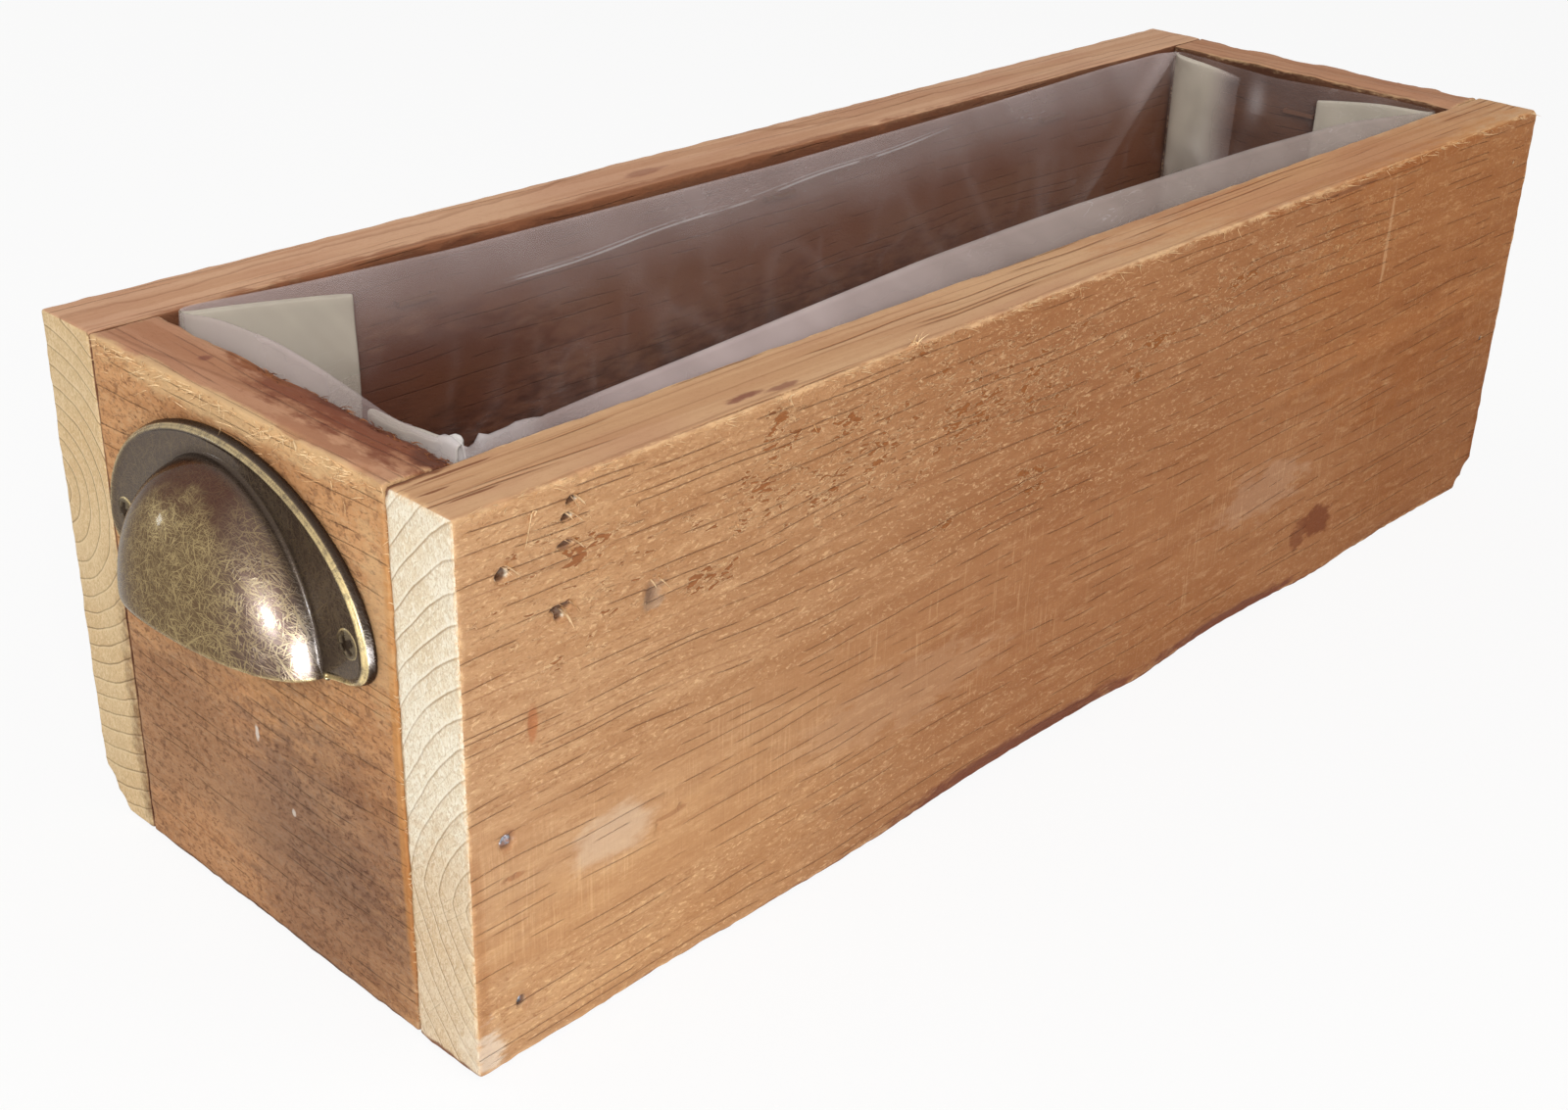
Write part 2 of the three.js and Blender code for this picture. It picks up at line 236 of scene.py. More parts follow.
def make_floor():
    half = FLOOR_SIZE / 2
    mesh = bpy.data.meshes.new("studio_floor")
    corners = [(-half, -half, 0), (half, -half, 0), (half, half, 0), (-half, half, 0)]
    mesh.from_pydata(corners, [], [(0, 1, 2, 3)])
    mesh.materials.append(floor_material())
    floor = bpy.data.objects.new("studio_floor", mesh)
    floor.location.z = -FLOOR_DROP
    bpy.context.scene.collection.objects.link(floor)


def make_world():
    world = bpy.data.worlds.new("studio")
    world.use_nodes = True
    world.node_tree.nodes.clear()
    nodes = Nodes(world.node_tree)
    level = nodes.band(sees_white(nodes), 0, 1, WORLD_LIGHT, 1.0)
    back = nodes.node("ShaderNodeBackground", {"Color": (1, 1, 1, 1), "Strength": level})
    nodes.node("ShaderNodeOutputWorld", {"Surface": back.outputs[0]})
    bpy.context.scene.world = world


def make_lamp(name, place, aim, size, watts, tint=(1, 1, 1), mirrored=False):
    """A square soft lamp. A mirrored one shows only in reflections, and the others only light surfaces."""
    data = bpy.data.lights.new(name, "AREA")
    data.energy = watts
    data.size = size
    data.color = tint
    lamp = bpy.data.objects.new(name, data)
    lamp.location = place
    lamp.rotation_euler = (Vector(aim) - Vector(place)).to_track_quat("-Z", "Y").to_euler()
    lamp.visible_glossy = mirrored
    lamp.visible_diffuse = not mirrored
    lamp.visible_camera = not mirrored
    bpy.context.scene.collection.objects.link(lamp)


make_floor()
make_world()
NEAR_END = (-0.15, -0.05, 0.07)
make_lamp("key lamp", (-0.86, -0.92, 0.78), NEAR_END, 0.55, 15.5, (1.0, 0.975, 0.94))
make_lamp("fill lamp", (0.7, -1.0, 1.1), (0, 0, 0.06), 1.1, 5.0, (0.96, 0.98, 1.0))
make_lamp("rear lamp", (-0.5, 1.1, 1.0), (0, 0, 0.08), 1.0, 5.0)
PULL_MIDDLE = (-0.21, -0.02, 0.09)
make_lamp("window sheen", (-0.74, -0.66, 0.18), PULL_MIDDLE, 0.62, 3.4, (0.9, 0.95, 1.0), mirrored=True)
make_lamp("window glint", (-0.86, -0.78, 0.17), PULL_MIDDLE, 0.17, 6.6, (0.56, 0.76, 1.0), mirrored=True)
FLOOR_GLINT = (-0.215, -0.2, 0.003)
make_lamp("bright floor glint", FLOOR_GLINT, PULL_MIDDLE, 0.11, 1.7, (0.66, 0.82, 1.0), mirrored=True)
make_lamp("sky glint", (-0.77, 0.8, 0.26), PULL_MIDDLE, 0.09, 0.42, (0.7, 0.85, 1.0), mirrored=True)
bpy.context.scene.view_settings.view_transform = "Standard"

# %% [markdown]
# A worn board is a box whose corners have been knocked about. One way is a cube with a bevel, but a bevel
# is as even as a machine. Here the six faces of each board share a fine grid. Every grid point is pulled
# onto a rounded edge whose radius wanders, and then moved a little by smooth noise, so that no two places
# on the arris are alike.


# %% Board meshes: a fine grid, worn round its edges
NOISE_CELLS = 24


def wander(points, size, seed):
    """Smooth random values from -1 to 1, one per point. They change over about `size` metres on each axis."""
    table = np.random.default_rng(seed).uniform(-1, 1, (NOISE_CELLS,) * 3)
    place = points / np.asarray(size)
    cell = np.floor(place).astype(int)
    part = place - cell
    part = part * part * (3 - 2 * part)
    total = np.zeros(len(points))
    for corner in np.ndindex(2, 2, 2):
        weight = np.prod(np.where(corner, part, 1 - part), axis=1)
        at = (cell + corner) % NOISE_CELLS
        total += weight * table[at[:, 0], at[:, 1], at[:, 2]]
    return total


END_ZONE = 2.4 * MM
ARRIS_ZONE = 1.0 * MM
ARRIS_STEP = 0.32 * MM


def grid_lines(low, high, coarse, fine_places=(), fine_reach=4 * MM, fine=0.7 * MM):
    """Grid lines from low to high: close together by both ends and the fine places, wider elsewhere."""
    lines = [low]
    while lines[-1] < high:
        here = lines[-1]
        to_end = min(here - low, high - here)
        near = to_end < END_ZONE or any(abs(here - p) < fine_reach for p in fine_places)
        step = fine if near else coarse
        if to_end < ARRIS_ZONE:
            step = ARRIS_STEP
        lines.append(here + step)
    lines = np.array(lines)
    return low + (lines - low) * (high - low) / (lines[-1] - low)


def box_skin(xs, ys, zs):
    """Points and quads of a closed box whose six faces share these grid lines."""
    shape = (len(xs), len(ys), len(zs))
    i, j, k = np.indices(shape)
    ends = [(index == 0) | (index == count - 1) for index, count in zip((i, j, k), shape)]
    skin = ends[0] | ends[1] | ends[2]
    number = np.full(shape, -1)
    number[skin] = np.arange(skin.sum())
    points = np.stack([xs[i[skin]], ys[j[skin]], zs[k[skin]]], axis=1)
    quads = []
    for axis in range(3):
        for side in (0, -1):
            sheet = np.take(number, side, axis=axis)
            ring = [sheet[:-1, :-1], sheet[1:, :-1], sheet[1:, 1:], sheet[:-1, 1:]]
            outward = (side == -1) != (axis == 1)
            ring = ring if outward else ring[::-1]
            quads.append(np.stack([r.ravel() for r in ring], axis=1))
    return points, np.concatenate(quads)


def worn(points, low, high, radius, roughness, seed):
    """Rounds the box's edges by a radius that wanders, and roughens its faces."""
    spread = 1 + 0.55 * wander(points, (9 * MM, 9 * MM, 9 * MM), seed)
    spread = spread + 0.35 * wander(points, (2.5 * MM,) * 3, seed + 1)
    reach = (radius * np.clip(spread, 0.35, 2.2))[:, None]
    core = np.clip(points, low + reach, high - reach)
    out = points - core
    out /= np.linalg.norm(out, axis=1)[:, None]
    rough = wander(points, (7 * MM, 7 * MM, 3 * MM), seed + 2)
    rough = rough + 0.6 * wander(points, (2.2 * MM, 2.2 * MM, 1.5 * MM), seed + 3)
    return core + out * (reach + roughness * (rough[:, None] - 0.8))


def press(points, centre, size, push):
    """Moves the points near centre by push, fading to nothing at size: a dent, a chip or a knocked corner."""
    reach = np.linalg.norm((points - np.array(centre)) / np.array(size), axis=1)
    weight = np.clip(1 - reach**2, 0, 1) ** 1.5
    points += weight[:, None] * np.array(push)


def edge_distance(points, low, high):
    """How far each surface point is from the nearest edge of its box, in millimetres."""
    gaps = np.sort(np.minimum(points - low, high - points), axis=1)
    return np.clip(gaps[:, 1], 0, None) / MM


def new_piece(name, points, faces, material, smooth=True):
    """A mesh object in the frame's axes that rides with the trough."""
    mesh = bpy.data.meshes.new(name)
    mesh.from_pydata([tuple(p) for p in points], [], [tuple(int(i) for i in f) for f in faces])
    mesh.validate()
    mesh.polygons.foreach_set("use_smooth", [smooth] * len(mesh.polygons))
    mesh.materials.append(material)
    piece = bpy.data.objects.new(name, mesh)
    bpy.context.scene.collection.objects.link(piece)
    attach(piece, "root")
    return piece


def add_values(piece, name, values):
    """Stores one number per point on the mesh, for the material to read by name."""
    layer = piece.data.attributes.new(name, "FLOAT", "POINT")
    layer.data.foreach_set("value", np.asarray(values, np.float32))


def board_piece(name, points, quads, material, edge, deep):
    """A board's piece, which carries the two values that its material reads."""
    piece = new_piece(name, points, quads, material)
    add_values(piece, "edge_mm", edge)
    add_values(piece, "deep_mm", deep)
    return piece


FRONT_LOW, FRONT_HIGH = (np.array(corner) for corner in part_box("front_side_board"))
REAR_LOW, REAR_HIGH = (np.array(corner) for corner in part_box("rear_side_board"))
LEFT_LOW, LEFT_HIGH = (np.array(corner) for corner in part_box("left_end_board"))
BASE_LOW, BASE_HIGH = (np.array(corner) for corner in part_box("base_board"))
RIM = FRONT_HIGH[2]
for low, high in ((FRONT_LOW, FRONT_HIGH), (LEFT_LOW, LEFT_HIGH), (BASE_LOW, BASE_HIGH)):
    print("board:", (high - low).round(4))

# %% [markdown]
# Softwood grows in rings, and a board is a slice through them. So the pattern is worked out in three
# dimensions: the distance from the tree's pith gives arcs on the sawn end and slow bands on the face, and
# they meet at the corners as they do in real timber. The pith of each board is read from the rings on its
# sawn end. Drying then opens hairline cracks along the grain: one thin line in each row of a slowly bent
# set of rows, put at random in its row and broken at random along it.

# %% Node groups: growth rings and hairline cracks
rings_group, n, given, result = new_group(
    "growth rings",
    [("Place", "vector", None), ("Pith", "vector", None), ("Squash", "value", 0.6), ("Power", "value", 2.0),
     ("Spacing", "value", 5.0), ("Wander", "value", 3.0)],
    [("Latewood", "value"), ("Line", "value"), ("Pale", "value"), ("Tone", "value")],
)
slow = n.noise(n.scaled(given["Place"], (1 / 160, 1 / 40, 1 / 40)), detail=1)
shaky = n.noise(n.scaled(given["Place"], (1 / 26, 1 / 7, 1 / 7)), detail=2)
off = n.parts(n.vector("SUBTRACT", given["Place"], given["Pith"]))
across = n.math("POWER", n.math("ABSOLUTE", off[1]), given["Power"])
upward = n.math("ABSOLUTE", n.math("MULTIPLY", off[2], given["Squash"]))
upward = n.math("POWER", upward, given["Power"])
radius = n.math("POWER", n.math("ADD", across, upward), n.math("DIVIDE", 1.0, given["Power"]))
sway = n.math("MULTIPLY", n.math("SUBTRACT", slow, 0.5), n.math("MULTIPLY", given["Wander"], 3))
shake = n.math("MULTIPLY", n.math("SUBTRACT", shaky, 0.5), n.math("MULTIPLY", given["Wander"], 0.4))
radius = n.math("ADD", radius, n.math("ADD", sway, shake))
year = n.math("DIVIDE", n.math("ABSOLUTE", radius), given["Spacing"])
part = n.math("FRACT", year)
tone = n.node("ShaderNodeTexWhiteNoise", {"W": n.math("FLOOR", year)}, noise_dimensions="1D").outputs["Value"]
n.feed(result["Latewood"], n.math("MULTIPLY", n.band(part, 0.2, 0.92), n.band(part, 0.94, 1.0, 1.0, 0.0)))
n.feed(result["Line"], n.math("MULTIPLY", n.band(part, 0.86, 0.95), n.band(part, 0.955, 0.99, 1.0, 0.0)))
n.feed(result["Pale"], n.band(part, 0.14, 0.02))
n.feed(result["Tone"], tone)

cracks_group, n, given, result = new_group(
    "hairline cracks",
    [("Place", "vector", None), ("Length", "value", 30.0), ("Gap", "value", 3.0), ("Width", "value", 0.22)],
    [("Line", "value"), ("Band", "value")],
)
along, depth, height = n.parts(given["Place"])
bend = n.noise(n.scaled(given["Place"], (1 / 90, 1 / 30, 1 / 30)), detail=2)
row = n.math("ADD", n.math("ADD", depth, height), n.math("MULTIPLY", bend, 9))
row = n.math("DIVIDE", row, given["Gap"])
index = n.math("FLOOR", row)
lot = n.node("ShaderNodeTexWhiteNoise", {"W": index}, noise_dimensions="1D").outputs["Value"]
spot = n.math("ADD", n.math("MULTIPLY", lot, 0.7), 0.15)
apart = n.math("MULTIPLY", n.math("ABSOLUTE", n.math("SUBTRACT", n.math("FRACT", row), spot)), given["Gap"])
thin = n.math("SUBTRACT", 1.0, n.math("DIVIDE", apart, given["Width"]), clamp=True)
run = n.joined(n.math("DIVIDE", along, given["Length"]), n.math("MULTIPLY", index, 7.31), 0.5)
n.feed(result["Line"], n.math("MULTIPLY", thin, n.band(n.noise(run, detail=1, rough=0.5), 0.48, 0.56)))
stretch = n.joined(n.math("MULTIPLY", given["Length"], 2), given["Gap"], given["Gap"])
n.feed(result["Band"], n.band(n.noise(n.vector("DIVIDE", given["Place"], stretch), detail=2), 0.35, 0.65))
print("groups:", rings_group.name, cracks_group.name)

# %% [markdown]
# A saw leaves its own marks on top of the growth. Where the blade ran rough the fibres stand up in a fine
# nap of short dashes, painted pale where they catch the light and painted dark in the shade between. Where
# it ran clean there are faint upright scores. In places the grain tore out and left small orange dashes
# with a pale lip. Stains and knocks are patches with a ragged edge, put where they are on the real boards.

# %% Node groups: saw nap, saw scores, torn grain, patches
nap_group, n, given, result = new_group(
    "saw nap", [("Place", "vector", None), ("Size", "value", 1.0)],
    [("Height", "value"), ("Light", "value"), ("Dark", "value")],
)
sized = n.vector("DIVIDE", given["Place"], n.joined(given["Size"], given["Size"], given["Size"]))
dashes = n.noise(n.scaled(sized, (1 / 1.8, 1 / 0.6, 1 / 0.75)), detail=3, rough=0.65, bend=0.8)
tufts = n.noise(n.scaled(sized, (1 / 0.8, 1 / 0.7, 1 / 0.62), shift=(7, 3, 1)), detail=2, rough=0.6)
both = n.math("ADD", n.math("MULTIPLY", dashes, 0.75), n.math("MULTIPLY", tufts, 0.25))
n.feed(result["Height"], both)
n.feed(result["Light"], n.band(both, 0.54, 0.64))
n.feed(result["Dark"], n.band(both, 0.47, 0.36))

score_group, n, given, result = new_group(
    "saw scores", [("Place", "vector", None)], [("Height", "value"), ("Light", "value"), ("Dark", "value")]
)
score = n.noise(n.scaled(given["Place"], (1 / 0.62, 1 / 40, 1 / 13)), detail=2, rough=0.6)
patchy = n.noise(n.scaled(given["Place"], (1 / 15, 1 / 24, 1 / 22), shift=(3, 1, 5)), detail=2)
seen = n.band(patchy, 0.42, 0.6)
n.feed(result["Height"], score)
n.feed(result["Light"], n.math("MULTIPLY", n.band(score, 0.56, 0.68), seen))
n.feed(result["Dark"], n.math("MULTIPLY", n.band(score, 0.44, 0.32), seen))

torn_group, n, given, result = new_group(
    "torn grain", [("Place", "vector", None), ("Amount", "value", 0.5)], [("Pit", "value"), ("Lip", "value")]
)
slits = n.noise(n.scaled(given["Place"], (1 / 2.9, 1 / 1.2, 1 / 0.95)), detail=2, rough=0.55, bend=0.5)
level = n.math("ADD", slits, n.math("MULTIPLY", n.math("SUBTRACT", given["Amount"], 1.0), 0.3))
n.feed(result["Pit"], n.band(level, 0.54, 0.59))
n.feed(result["Lip"], n.math("MULTIPLY", n.band(level, 0.48, 0.51), n.band(level, 0.52, 0.55, 1.0, 0.0)))

patch_group, n, given, result = new_group(
    "ragged patch",
    [("Place", "vector", None), ("Centre", "vector", None), ("Size", "vector", None), ("Edge", "value", 0.5),
     ("Ragged", "value", 0.4)],
    [("Mask", "value")],
)
apart = n.vector("SUBTRACT", given["Place"], given["Centre"])
reach = n.vector("LENGTH", n.vector("DIVIDE", apart, given["Size"]))
uneven = n.math("MULTIPLY", n.math("SUBTRACT", given["Edge"], 0.5), n.math("MULTIPLY", given["Ragged"], 3))
n.feed(result["Mask"], n.band(n.math("ADD", reach, uneven), 0.55, 1.05, 1.0, 0.0))
print("groups:", [g.name for g in (nap_group, score_group, torn_group, patch_group)])

# %% [markdown]
# All the boards share one recipe and differ in its values. The way a surface faces says what it is: outer
# face, inner face, top or bottom edge, or sawn end. Each gets its own colour over the same rings and
# cracks; the inner face's dark colour is painted shade for the inside of the trough. The height for the
# bump comes from the same masks, so that a dark line is also a groove. Two values stored on the mesh help:
# how far a point is from an edge, which frays, and how deep it was knocked in, which is painted dark, as
# dirt and painted shade in the dents.


# %% The timber recipe
def facing(n, grain_axis):
    """Masks for the sawn ends, the inner face, the top and the bottom of a board."""
    normal = n.parts(n.node("ShaderNodeNewGeometry").outputs["Normal"])
    place = n.parts(n.node("ShaderNodeTexCoord").outputs["Object"])
    across_axis = 1 - grain_axis
    outward = n.math("MULTIPLY", normal[across_axis], n.math("SIGN", place[across_axis]))
    return {
        "ends": n.band(n.math("ABSOLUTE", normal[grain_axis]), 0.5, 0.8),
        "inner": n.band(outward, -0.5, -0.8),
        "top": n.band(normal[2], 0.55, 0.85),
        "bottom": n.band(normal[2], -0.5, -0.8),
    }


def times(n, *values):
    """The product of several values."""
    total = values[0]
    for value in values[1:]:
        total = n.math("MULTIPLY", total, value)
    return total


def face_colour(n, look, grain, cloud, marks, nap_zone):
    """Colour of the broad faces: painted falloff, growth, nap, scores, cracks and torn grain."""
    length = n.parts(grain)[0]
    # The face runs from face_near to face_far: painted shade for light that falls off along the board.
    colour = n.mix(n.band(length, *look["fade"]), look["face_near"], look["face_far"])
    growth = n.math("ADD", times(n, marks["rings"]["Latewood"], 0.2), times(n, marks["rings"]["Tone"], 0.14))
    colour = n.mix(growth, colour, look["late_tint"], "MULTIPLY")
    colour = n.mix(n.band(cloud, 0.42, 0.72, 0.0, 0.6), colour, look["cloud_tint"], "MULTIPLY")
    colour = n.mix(n.band(marks["cracks"]["Band"], 0.3, 1.0, 0.0, 0.3), colour, look["late_tint"], "MULTIPLY")
    clean_zone = n.math("SUBTRACT", 1.0, nap_zone)
    faint = n.band(nap_zone, 0, 1, 0.28, 1.0)
    # The nap's pale dashes are a painted highlight and its dark ones a painted shade.
    colour = n.mix(times(n, marks["nap"]["Light"], faint, 0.46), colour, look["nap_light"])
    colour = n.mix(times(n, marks["nap"]["Dark"], faint, 0.78), colour, look["nap_dark"])
    colour = n.mix(times(n, marks["scores"]["Light"], clean_zone, 0.17), colour, look["nap_light"])
    colour = n.mix(times(n, marks["scores"]["Dark"], clean_zone, 0.22), colour, look["nap_dark"])
    mottle = n.noise(n.scaled(grain, look["mottle_scale"]), detail=4, rough=0.7)
    colour = n.mix(times(n, n.band(mottle, 0.5, 0.36), look["mottle"]), colour, look["nap_dark"])
    colour = n.mix(times(n, n.band(mottle, 0.54, 0.66), look["mottle"], 0.7), colour, look["nap_light"])
    cracked = n.math("MAXIMUM", marks["cracks"]["Line"], marks["long"]["Line"])
    cracked = times(n, cracked, n.band(length, *look["fade"], 1.0, look["far_cracks"]))
    cracked = times(n, cracked, n.band(nap_zone, 0, 1, 0.08, 1.0), look["cracked"])
    colour = n.mix(cracked, colour, look["line"])
    colour = n.mix(times(n, marks["torn"]["Lip"], 0.5), colour, look["nap_light"])
    return n.mix(times(n, marks["torn"]["Pit"], 0.95), colour, look["torn"])


def top_colour(n, look, grain, cloud, marks):
    """Colour of the planed top edge: smooth, with long dark lines along the grain."""
    long_lines = n.placed(cracks_group, Place=grain, Length=70.0, Gap=3.2, Width=0.4)
    colour = n.mix(n.band(cloud, 0.4, 0.66), look["top"], look["top_cloud"])
    colour = n.mix(n.band(long_lines["Band"], 0.2, 1.0, 0.0, 0.45), colour, look["late_tint"], "MULTIPLY")
    colour = n.mix(times(n, marks["nap"]["Dark"], 0.14), colour, look["nap_dark"])
    colour = n.mix(times(n, marks["rings"]["Line"], 0.35), colour, look["line"])
    return n.mix(times(n, long_lines["Line"], look["top_lines"]), colour, look["line"]), long_lines["Line"]


def end_colour(n, look, mm, cloud, marks):
    """Colour of the sawn end: pale, with thin rings and a worm-like saw texture."""
    sawn = n.noise(n.scaled(mm, (1 / 2, 1 / 0.7, 1 / 1.3)), detail=2, rough=0.6, bend=1.6)
    colour = n.mix(n.band(cloud, 0.35, 0.7), look["end"], look["end_warm"])
    colour = n.mix(times(n, marks["rings"]["Latewood"], 0.3), colour, look["end_late"])
    colour = n.mix(n.band(sawn, 0.53, 0.6, 0.0, 0.75), colour, look["end_late"])
    colour = n.mix(n.band(sawn, 0.47, 0.4, 0.0, 0.7), colour, look["end_pale"])
    colour = n.mix(times(n, marks["rings"]["Pale"], 0.6), colour, look["end_pale"])
    ring = times(n, marks["rings"]["Line"], n.band(cloud, 0.35, 0.65, 0.55, 0.95))
    return n.mix(ring, colour, look["end_line"]), sawn


def timber(name, look):
    """One board's material. `look` holds its pith, colours, zones and patches."""
    material, n, shader = new_material(name, roughness=0.8)
    mm = place_in_mm(n)
    x, y, z = n.parts(mm)
    grain = mm if look["grain_axis"] == 0 else n.joined(y, x, z)
    side = facing(n, look["grain_axis"])
    edge = n.stored("edge_mm")
    deep = n.stored("deep_mm")
    cloud = n.noise(n.scaled(grain, (1 / 60, 1 / 24, 1 / 18)), detail=3, rough=0.58)
    ragged = n.noise(n.scaled(grain, (1 / 8, 1 / 3.2, 1 / 2.8)), detail=4, rough=0.65)

    def patch(centre, size, roughness):
        made = n.placed(patch_group, Place=mm, Centre=centre, Size=size, Edge=ragged, Ragged=roughness)
        return made["Mask"]

    nap_zone = look["nap_zone"](n, x, y, z, cloud)
    torn_zone = None
    for centre, size, strength in look["torn_places"]:
        spot = times(n, patch(centre, size, 0.6), strength)
        torn_zone = spot if torn_zone is None else n.math("MAXIMUM", torn_zone, spot)
    marks = {
        "rings": n.placed(rings_group, Place=grain, Pith=look["pith"], Squash=look["squash"],
                          Power=look["power"], Spacing=look["spacing"], Wander=look["wander"]),
        "cracks": n.placed(cracks_group, Place=grain, Length=18.0, Gap=3.0, Width=0.17),
        "long": n.placed(cracks_group, Place=grain, Length=look["crack_length"],
                         Gap=look["crack_gap"], Width=0.26),
        "nap": n.placed(nap_group, Place=grain, Size=look["nap_size"]),
        "scores": n.placed(score_group, Place=grain),
        "torn": n.placed(torn_group, Place=grain, Amount=torn_zone),
    }
    colour = face_colour(n, look, grain, cloud, marks, nap_zone)
    # Inner faces take the dark inner colour: painted shade for the inside of the trough.
    colour = n.mix(side["inner"], colour, n.mix(n.band(cloud, 0.3, 0.8), look["inner"], look["bottom"]))
    colour = n.mix(side["bottom"], colour, look["bottom"])
    top, top_lines = top_colour(n, look, grain, cloud, marks)
    colour = n.mix(side["top"], colour, top)
    end, sawn = end_colour(n, look, mm, cloud, marks)
    colour = n.mix(side["ends"], colour, end)
    frayed = n.band(n.math("ADD", edge, times(n, marks["nap"]["Height"], 6)), 3.0, 4.6, 1.0, 0.0)
    frayed = times(n, frayed, n.band(ragged, 0.42, 0.6, 0.15, 1.0), look["fray"])
    colour = n.mix(frayed, colour, look["nap_light"])
    for centre, size, roughness, tint, strength in look["stains"]:
        colour = n.mix(times(n, patch(centre, size, roughness), strength), colour, tint, "MULTIPLY")
    for centre, size, roughness, tint, strength in look["patches"]:
        colour = n.mix(times(n, patch(centre, size, roughness), strength), colour, tint)
    # The deeper a place was knocked in, the nearer it comes to the pit colour: dirt and painted shade in the
    # dents.
    colour = n.mix(n.band(deep, 0.3, 1.1, 0.0, 0.92), colour, look["pit"])
    n.feed(shader["Base Color"], colour)

    clean_zone = n.math("SUBTRACT", 1.0, nap_zone)
    not_face = n.math("MAXIMUM", side["top"], side["ends"])
    height = times(n, marks["nap"]["Height"], n.band(nap_zone, 0, 1, 0.3, 1.0))
    height = n.math("ADD", height, times(n, marks["scores"]["Height"], clean_zone, 0.35))
    height = n.math("SUBTRACT", height, times(n, marks["torn"]["Pit"], 0.15))
    height = n.math("ADD", height, times(n, marks["torn"]["Lip"], 0.2))
    height = n.math("SUBTRACT", height, times(n, marks["cracks"]["Line"], 0.7))
    height = times(n, height, n.band(not_face, 0, 1, 1.0, 0.2))
    height = n.math("SUBTRACT", height, times(n, top_lines, side["top"], 0.5))
    height = n.math("ADD", height, times(n, sawn, side["ends"], 0.6))
    n.feed(shader["Normal"], n.bump(height, 0.9, 0.5 * MM))
    n.feed(shader["Roughness"], n.band(marks["nap"]["Height"], 0.3, 0.7, 0.9, 0.7))
    shader["Specular IOR Level"].default_value = 0.14
    return material


print("timber recipe takes a look with pith, colours, zones and patches")

# %% [markdown]
# The front board is the one that the camera sees most. Its upper part and a band near the bottom are
# fuzzy, with a clean sawn stretch between. Nail heads have stained the wood round them, and the near end
# shows old holes, a chip, a rusty slot and a chalky smear. Two small knots lie in the top edge.


# %% Front board: look
def front_nap(n, x, y, z, cloud):
    slope = n.math("SUBTRACT", z, n.math("MULTIPLY", x, 0.03))
    uneven = n.math("ADD", slope, n.math("MULTIPLY", n.math("SUBTRACT", cloud, 0.5), 40))
    upper = times(n, n.band(uneven, 56, 70), n.band(x, -60, 150, 1.0, 0.3))
    lower = times(n, n.band(uneven, 34, 24), n.band(x, -120, 60, 0.85, 0.25))
    return n.math("MAXIMUM", upper, lower)


FRONT_FACE = FRONT_LOW[1] / MM
RUST = (0.30, 0.12, 0.045)
# Dark brown of the wane on the bottom edges; at the near end's bottom it is also a painted contact shadow.
WANE_AND_CONTACT_SHADE = (0.17, 0.05, 0.025)
KNOT = (0.21, 0.075, 0.05)
GROOVE = (0.2, 0.075, 0.035)
TORN_SPOTS = [
    (-120, 113, 8, 7), (-127, 102, 9, 9), (-106, 97, 8, 7), (-101, 108, 5, 4), (-91, 100, 8, 5),
    (-67, 99, 6, 8), (-55, 99, 9, 5), (-40, 99, 5, 9), (-67, 76, 5, 3), (-38, 76, 9, 5), (10, 97, 9, 4),
    (-26, 87, 7, 4), (2, 92, 7, 4), (-81, 119, 8, 3), (-170, 105, 9, 5), (45, 104, 10, 3), (-140, 88, 10, 4),
]
TORN_BANDS = [
    ((-75, FRONT_FACE, 102), (90, 9, 19), 0.72),
    ((-172, FRONT_FACE, 98), (34, 9, 22), 0.6),
    ((70, FRONT_FACE, 102), (80, 9, 14), 0.6),
]
SPOT_PLACES = [((x, FRONT_FACE, z), (wide, 9, tall), 1.0) for x, z, wide, tall in TORN_SPOTS]
